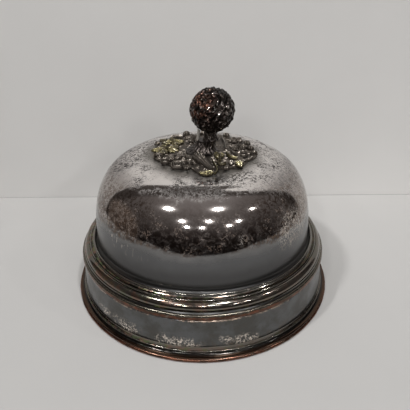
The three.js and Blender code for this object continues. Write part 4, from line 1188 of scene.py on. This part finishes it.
def vine_leaf(name, metals, at, long, wide, facing, lobes):
    towards = math.radians(facing)

    def reach_at(angle):
        in_lobe = abs(math.cos(lobes * angle / 2))
        tooth = 0.05 * math.cos(lobes * 5 * angle)
        reach = 1 - VINE_LEAF_NOTCH * (1 - in_lobe) - 0.05 + tooth
        along = math.cos(angle) * reach * long * MOUNT_RADIUS
        across = math.sin(angle) * reach * wide * MOUNT_RADIUS
        return (along * math.cos(towards) - across * math.sin(towards),
                along * math.sin(towards) + across * math.cos(towards))

    def rise_at(share, angle):
        in_lobe = abs(math.cos(lobes * angle / 2))
        vein = bell(1 - in_lobe, 0.03) * min(share * 6, 1)
        side = (0.5 + 0.5 * math.cos(2 * math.pi * (share * 5 + (1 - in_lobe) * 3))) ** 2 * min(share * 2, 1)
        rim = bell(0.95 - share, 0.06)
        profile = 0.3 + 0.52 * max(1 - share ** 2.2, 0) ** 0.7
        notch = 0.2 * (1 - in_lobe) * share
        rise = profile - notch + 0.16 * vein + 0.1 * side + 0.1 * rim
        return VINE_LEAF_RISE * max(rise, 0.16), min(max(vein, 0.62 * side, 0.9 * rim), 1)

    domed(name, metals, at, reach_at, rise_at, rings=34, segments=240)


# Every casting but the vine: its places in shares of the mount's radius, then its sizes
CASTINGS = (
    (leaf, (
        ("leaf_vine_tip", [(0.17, -0.855), (0.12, -0.9), (0.05, -0.92), (-0.04, -0.89)], 0.84, 0.9, 5),
        ("leaf_small", [(0.475, -0.485), (0.49, -0.545), (0.48, -0.625)], 0.5, 0.8, 3),
        ("leaf_right_low", [(0.6, -0.47), (0.62, -0.54), (0.645, -0.67)], 0.9, 0.9, 3),
        ("leaf_far_left", [(-0.36, 0.66), (-0.45, 0.69), (-0.54, 0.69), (-0.6, 0.65)], 0.6, 1, 3),
    )),
    (vine_leaf, (
        ("leaf_left", (-0.635, 0.03), 0.27, 0.19, 178, 5),
        ("leaf_back_left", (-0.56, 0.405), 0.27, 0.17, 150, 5),
        ("leaf_front_left", (-0.455, -0.3), 0.155, 0.13, 235, 5),
        ("leaf_heart", (0.29, -0.28), 0.12, 0.1, 250, 3),
        ("leaf_right_back", (0.66, 0.115), 0.18, 0.13, 20, 5),
        ("leaf_right_far", (0.63, 0.46), 0.17, 0.12, 45, 5),
        ("leaf_back_right", (0.19, 0.53), 0.26, 0.13, 82, 5),
        ("leaf_back", (-0.16, 0.555), 0.24, 0.15, 98, 5),
    )),
    (strand, (
        ("strand_left", [(-0.25, -0.45), (-0.25, -0.36), (-0.275, -0.255), (-0.29, -0.07)], 1.1, 1, 0),
        ("strand_front", [(0.18, -0.475), (0.21, -0.61), (0.245, -0.75), (0.24, -0.845), (0.205, -0.925)],
         0.9, 1, 0),
        ("branch_right", [(0.43, -0.155), (0.46, -0.27), (0.52, -0.35), (0.61, -0.38)], 1.5, 1.3, 0),
        ("strand_mid", [(0.52, -0.04), (0.56, -0.165), (0.605, -0.265)], 1.1, 1, 0),
        ("bead_edge", [(0.72, -0.455), (0.77, -0.39), (0.83, -0.34), (0.88, -0.265)], 1.3, 1, 5),
        ("strand_back_right", [(0.38, 0.67), (0.405, 0.47), (0.425, 0.255), (0.42, 0.01)], 1.1, 1, 0),
    )),
    (scroll, (
        ("scroll_left", (-0.742, -0.245), 0.09, 0.06, 205, -250),
        ("scroll_front", (-0.205, -0.555), 0.07, 0.04, 200, -250),
        ("scroll_heart", (0.34, -0.55), 0.09, 0.055, 100, 270),
        ("scroll_right", (0.715, -0.19), 0.092, 0.055, 110, -250),
        ("scroll_right_outer", (0.92, -0.115), 0.06, 0.048, 210, -230),
    )),
    (ring_flower, (
        ("flower_left", (-0.412, -0.625), 0.083, 0.12, 1.4),
        ("flower_left_small", (-0.62, -0.47), 0.062, 0, 1),
    )),
    (bud, (
        ("bud_front_left", (-0.25, -0.72), 0.7, 0.7),
        ("bud_front_right", (0.4, -0.73), 0.65, 0.7),
        ("bud_back_left", (-0.3, 0.79), 0.95, 1.3),
        ("bud_back", (0.02, 0.84), 0.8, 1),
        ("bud_back_right", (0.47, 0.76), 0.85, 1),
        ("bud_right_back", (0.83, 0.33), 0.85, 1.1),
        ("bud_right_outer", (0.88, 0.115), 0.75, 0.9),
        ("bud_left_outer", (-0.83, 0.375), 0.7, 0.8),
    )),
)


def make_vine(metals):
    start = -(BOSS_RADIUS + 3) / MOUNT_RADIUS
    points = [(-0.07, start), (-0.04, start - 0.07), (0.02, -0.5), (0.075, -0.61), (0.135, -0.715),
              (0.165, -0.8)]

    def half(share):
        return VINE_END_HALF_WIDTH + (VINE_HALF_WIDTH - VINE_END_HALF_WIDTH) * (1 - share) ** 1.2

    def rise(share, v):
        body = VINE_END_RISE + (VINE_RISE - VINE_END_RISE) * (1 - share) ** 2
        return body * (1 - 0.5 * v * v) * (1 + 0.16 * math.cos(4 * math.pi * v) - 0.1)

    raised("vine_scroll", metals, points, half, rise, across=32)


def make_relief(metals):
    make_vine(metals)
    for make, rows in CASTINGS:
        for name, *sizes in rows:
            make(name, metals, *sizes)


# Stage: table, white board behind it, dark room beyond the table, small lamps

def make_camera():
    right = Vector((math.cos(YAW), -math.sin(YAW), 0))
    ahead = Vector((math.sin(YAW) * math.cos(PITCH), math.cos(YAW) * math.cos(PITCH), -math.sin(PITCH)))
    up = Vector((math.sin(YAW) * math.sin(PITCH), math.cos(YAW) * math.sin(PITCH), math.cos(PITCH)))
    x = math.cos(ROLL) * right + math.sin(ROLL) * up
    y = math.cos(ROLL) * up - math.sin(ROLL) * right
    data = bpy.data.cameras.new("camera")
    data.lens = LENS
    data.sensor_width = SENSOR
    camera = bpy.data.objects.new("camera", data)
    camera.matrix_world = Matrix.Translation(CAMERA_AT) @ Matrix((x, y, -ahead)).transposed().to_4x4()
    scene.collection.objects.link(camera)
    scene.camera = camera


def stage_plane(name, corners, material):
    plane = make_object(name, corners, [list(range(len(corners)))], material)


PAPER_HALF_WIDTH = 280


def paper(name, axis, start, end, painted_light_levels):
    """Matt paper, its light falloff painted into its colour; the painted light levels are left and right at
    the start of an axis, then left and right at its end.
    """
    m = Surface(name)
    across = m.step(m.split()[0], -PAPER_HALF_WIDTH, PAPER_HALF_WIDTH, smooth=False)
    along = m.step(m.split()[axis], start, end, smooth=False)
    left, right, left_end, right_end = ([light_level, light_level * 0.98, light_level * 0.955] for light_level in painted_light_levels)
    colour = m.colours(along, m.colours(across, left, right), m.colours(across, left_end, right_end))
    colour = m.over(colour, (0.2, 0.2, 0.2), m.step(m.noise(90, 3, 0.5), 0.3, 0.7), 0.03)
    m.set(base_color=colour, roughness=0.85)
    return m


# The board's outline, its left and right edge, and how far behind the object it stands
BOARD_OUTLINE = ((-0.58, 0), (0.58, 0), (0.58, 0.25), (0.55, 0.48), (0.48, 0.66), (0.39, 0.71), (0.2, 0.7),
                 (0.07, 0.63), (0.17, 0.53), (0.1, 0.47), (-0.36, 0.46), (-0.5, 0.38), (-0.58, 0.2))
BOARD_SIDE = 0.58
BOARD_AT = 0.181
JOINT_RISE = 0.0009
JOINT_AHEAD = 0.0004
TABLE_SIDE = 0.65
TABLE_FRONT = -0.56
TABLE_BACK = 0.9


def make_table():
    corners = [(-TABLE_SIDE, TABLE_FRONT, 0), (TABLE_SIDE, TABLE_FRONT, 0), (TABLE_SIDE, TABLE_BACK, 0),
               (-TABLE_SIDE, TABLE_BACK, 0)]
    # Painted light: the table is painted darker in front and lighter towards the back and the right
    stage_plane("table", corners, paper("table", 1, -170, 160, (0.44, 0.46, 0.51, 0.557)).material)


def make_board():
    """White board, clear from behind, and the dark joint where it meets the table."""
    # Painted light: the board is painted lighter at its foot and towards the right, darker towards its top
    board = paper("board", 2, 0, 300, (0.6, 0.69, 0.51, 0.53))
    facing = board.add("NewGeometry").outputs["Backfacing"]
    clear = board.add("BsdfTransparent").outputs[0]
    either = board.add("MixShader", {0: facing, 1: board.shader.outputs[0], 2: clear}).outputs[0]
    board.put(either, board.tree.nodes["Material Output"].inputs["Surface"])
    stage_plane("board", [(x, BOARD_AT, z) for x, z in BOARD_OUTLINE], board.material)
    joint = ((-BOARD_SIDE, 0), (BOARD_SIDE, 0), (BOARD_SIDE, JOINT_RISE), (-BOARD_SIDE, JOINT_RISE))
    stage_plane("joint", [(x, BOARD_AT - JOINT_AHEAD, z) for x, z in joint],
                paper("joint", 2, 0, 1, (0.5, 0.5, 0.5, 0.5)).material)


def make_world():
    """A pale room to the camera; to metal a dark room, lighter overhead, that its lamps stand in."""
    world = bpy.data.worlds.new("world")
    scene.world = world
    world.use_nodes = True
    m = Nodes(world.node_tree, "Generated")
    x, y, z = m.split()
    ramp = m.add("ValToRGB", {0: z})
    stops = ramp.color_ramp.elements
    stops[0].color = (0.048, 0.043, 0.041, 1)
    stops[1].color = (0.27, 0.25, 0.245, 1)
    for at, colour in ((0.25, (0.095, 0.085, 0.081)), (0.6, (0.125, 0.112, 0.107)),
                       (0.88, (0.185, 0.168, 0.162))):
        stops.new(at).color = (*colour, 1)
    room = m.over(ramp.outputs[0], (0.06, 0.052, 0.048), m.step(y, 0.18, 0.26))
    room = m.over(room, (0.12, 0.11, 0.105), m.step(m.math("ABSOLUTE", x), 0.93, 0.99))
    room = m.over(room, (0.2, 0.17, 0.15), m.step(m.math("MULTIPLY", x, -1.0), 0.89, 0.96))
    path = m.add("LightPath").outputs
    mirrored = m.colours(path["Is Glossy Ray"], (0.16, 0.155, 0.15), room)
    seen = m.over(mirrored, (0.58, 0.56, 0.55), path["Is Camera Ray"])
    m.put(seen, m.tree.nodes["Background"].inputs["Color"])


# Azimuth and elevation in degrees, size and power of each lamp; all are as far from the object
LAMPS = ((-56, 58, 0.12, 7), (31, 66, 0.12, 7), (68, 44, 0.06, 1), (-23, 40, 0.085, 2.2),
         (-16, 30, 0.055, 1), (8, 42, 0.085, 2.2), (0, 30, 0.055, 1), (40, 33, 0.06, 1), (28, 29, 0.055, 1))
LAMP_DISTANCE = 1.4
LAMP_AIM = Vector((0, 0, 0.1))


def make_lamp(azimuth, elevation, size, power):
    a = math.radians(azimuth)
    e = math.radians(elevation)
    towards = Vector((math.sin(a) * math.cos(e), -math.cos(a) * math.cos(e), math.sin(e)))
    data = bpy.data.lights.new(f"lamp_{azimuth}_{elevation}", "AREA")
    data.shape = "DISK"
    data.size = size
    data.energy = power
    light = bpy.data.objects.new(data.name, data)
    light.location = LAMP_AIM + towards * LAMP_DISTANCE
    light.rotation_euler = towards.to_track_quat("Z", "Y").to_euler()
    scene.collection.objects.link(light)


make_camera()
make_table()
make_board()
make_world()
for row in LAMPS:
    make_lamp(*row)

moulding = struck_moulding()
copper = worn_copper()
fruit = cast_fruit()
brass = turned_brass()
# Partly painted shade: the boss and neck are dark cast metal, made darker than the rest of the mount to
# stand in for the shade beneath the fruit
trunk_painted_shade = cast_metal("cast_trunk_painted_shade", (0.03, 0.025, 0.022), (0.1, 0.085, 0.078), (0.42, 0.38, 0.36), rough=0.28)
# Painted highlight: the thin tendril is near white and mostly matt, so it shows as a bright streak even in
# the fruit's shade
bright = cast_metal("tendril_painted_highlight", (0.3, 0.28, 0.25), (0.85, 0.81, 0.74), (0.95, 0.92, 0.85),
                    rough=0.4, depth=0.01, metal=0.25)
dark = cast_metal("cast_dark", (0.085, 0.073, 0.063), (0.225, 0.196, 0.168), (0.72, 0.66, 0.58), rubbed=0.84)
brassy = cast_metal("cast_brassy", (0.06, 0.05, 0.032), (0.17, 0.15, 0.115), (0.72, 0.66, 0.46),
                    film=(0.23, 0.2, 0.105))

make_dome(dome_silver())
make_skirt(skirt_plate())
make_foot(moulding)
make_rim(copper)
make_upper_bead(moulding)
make_torus(moulding)
make_lower_bead(copper)
make_ball_part("fruit_body", "finial_body", -1, 0.5, fruit)
make_ball_part("fruit_cap", "finial_cap", 1, 0, fruit)
make_plate(dark)
make_boss(trunk_painted_shade)
make_stalk(trunk_painted_shade)
make_relief({"cast_dark": dark, "cast_brassy": brassy})
for node, material in (
    ("tendril", bright), ("pin_left", brass), ("pin_right", brass), ("stud", brass), ("cup_washer", brass),
    ("wing_nut", brass),
):
    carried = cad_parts[node]
    carried.data.materials.clear()
    carried.data.materials.append(material)
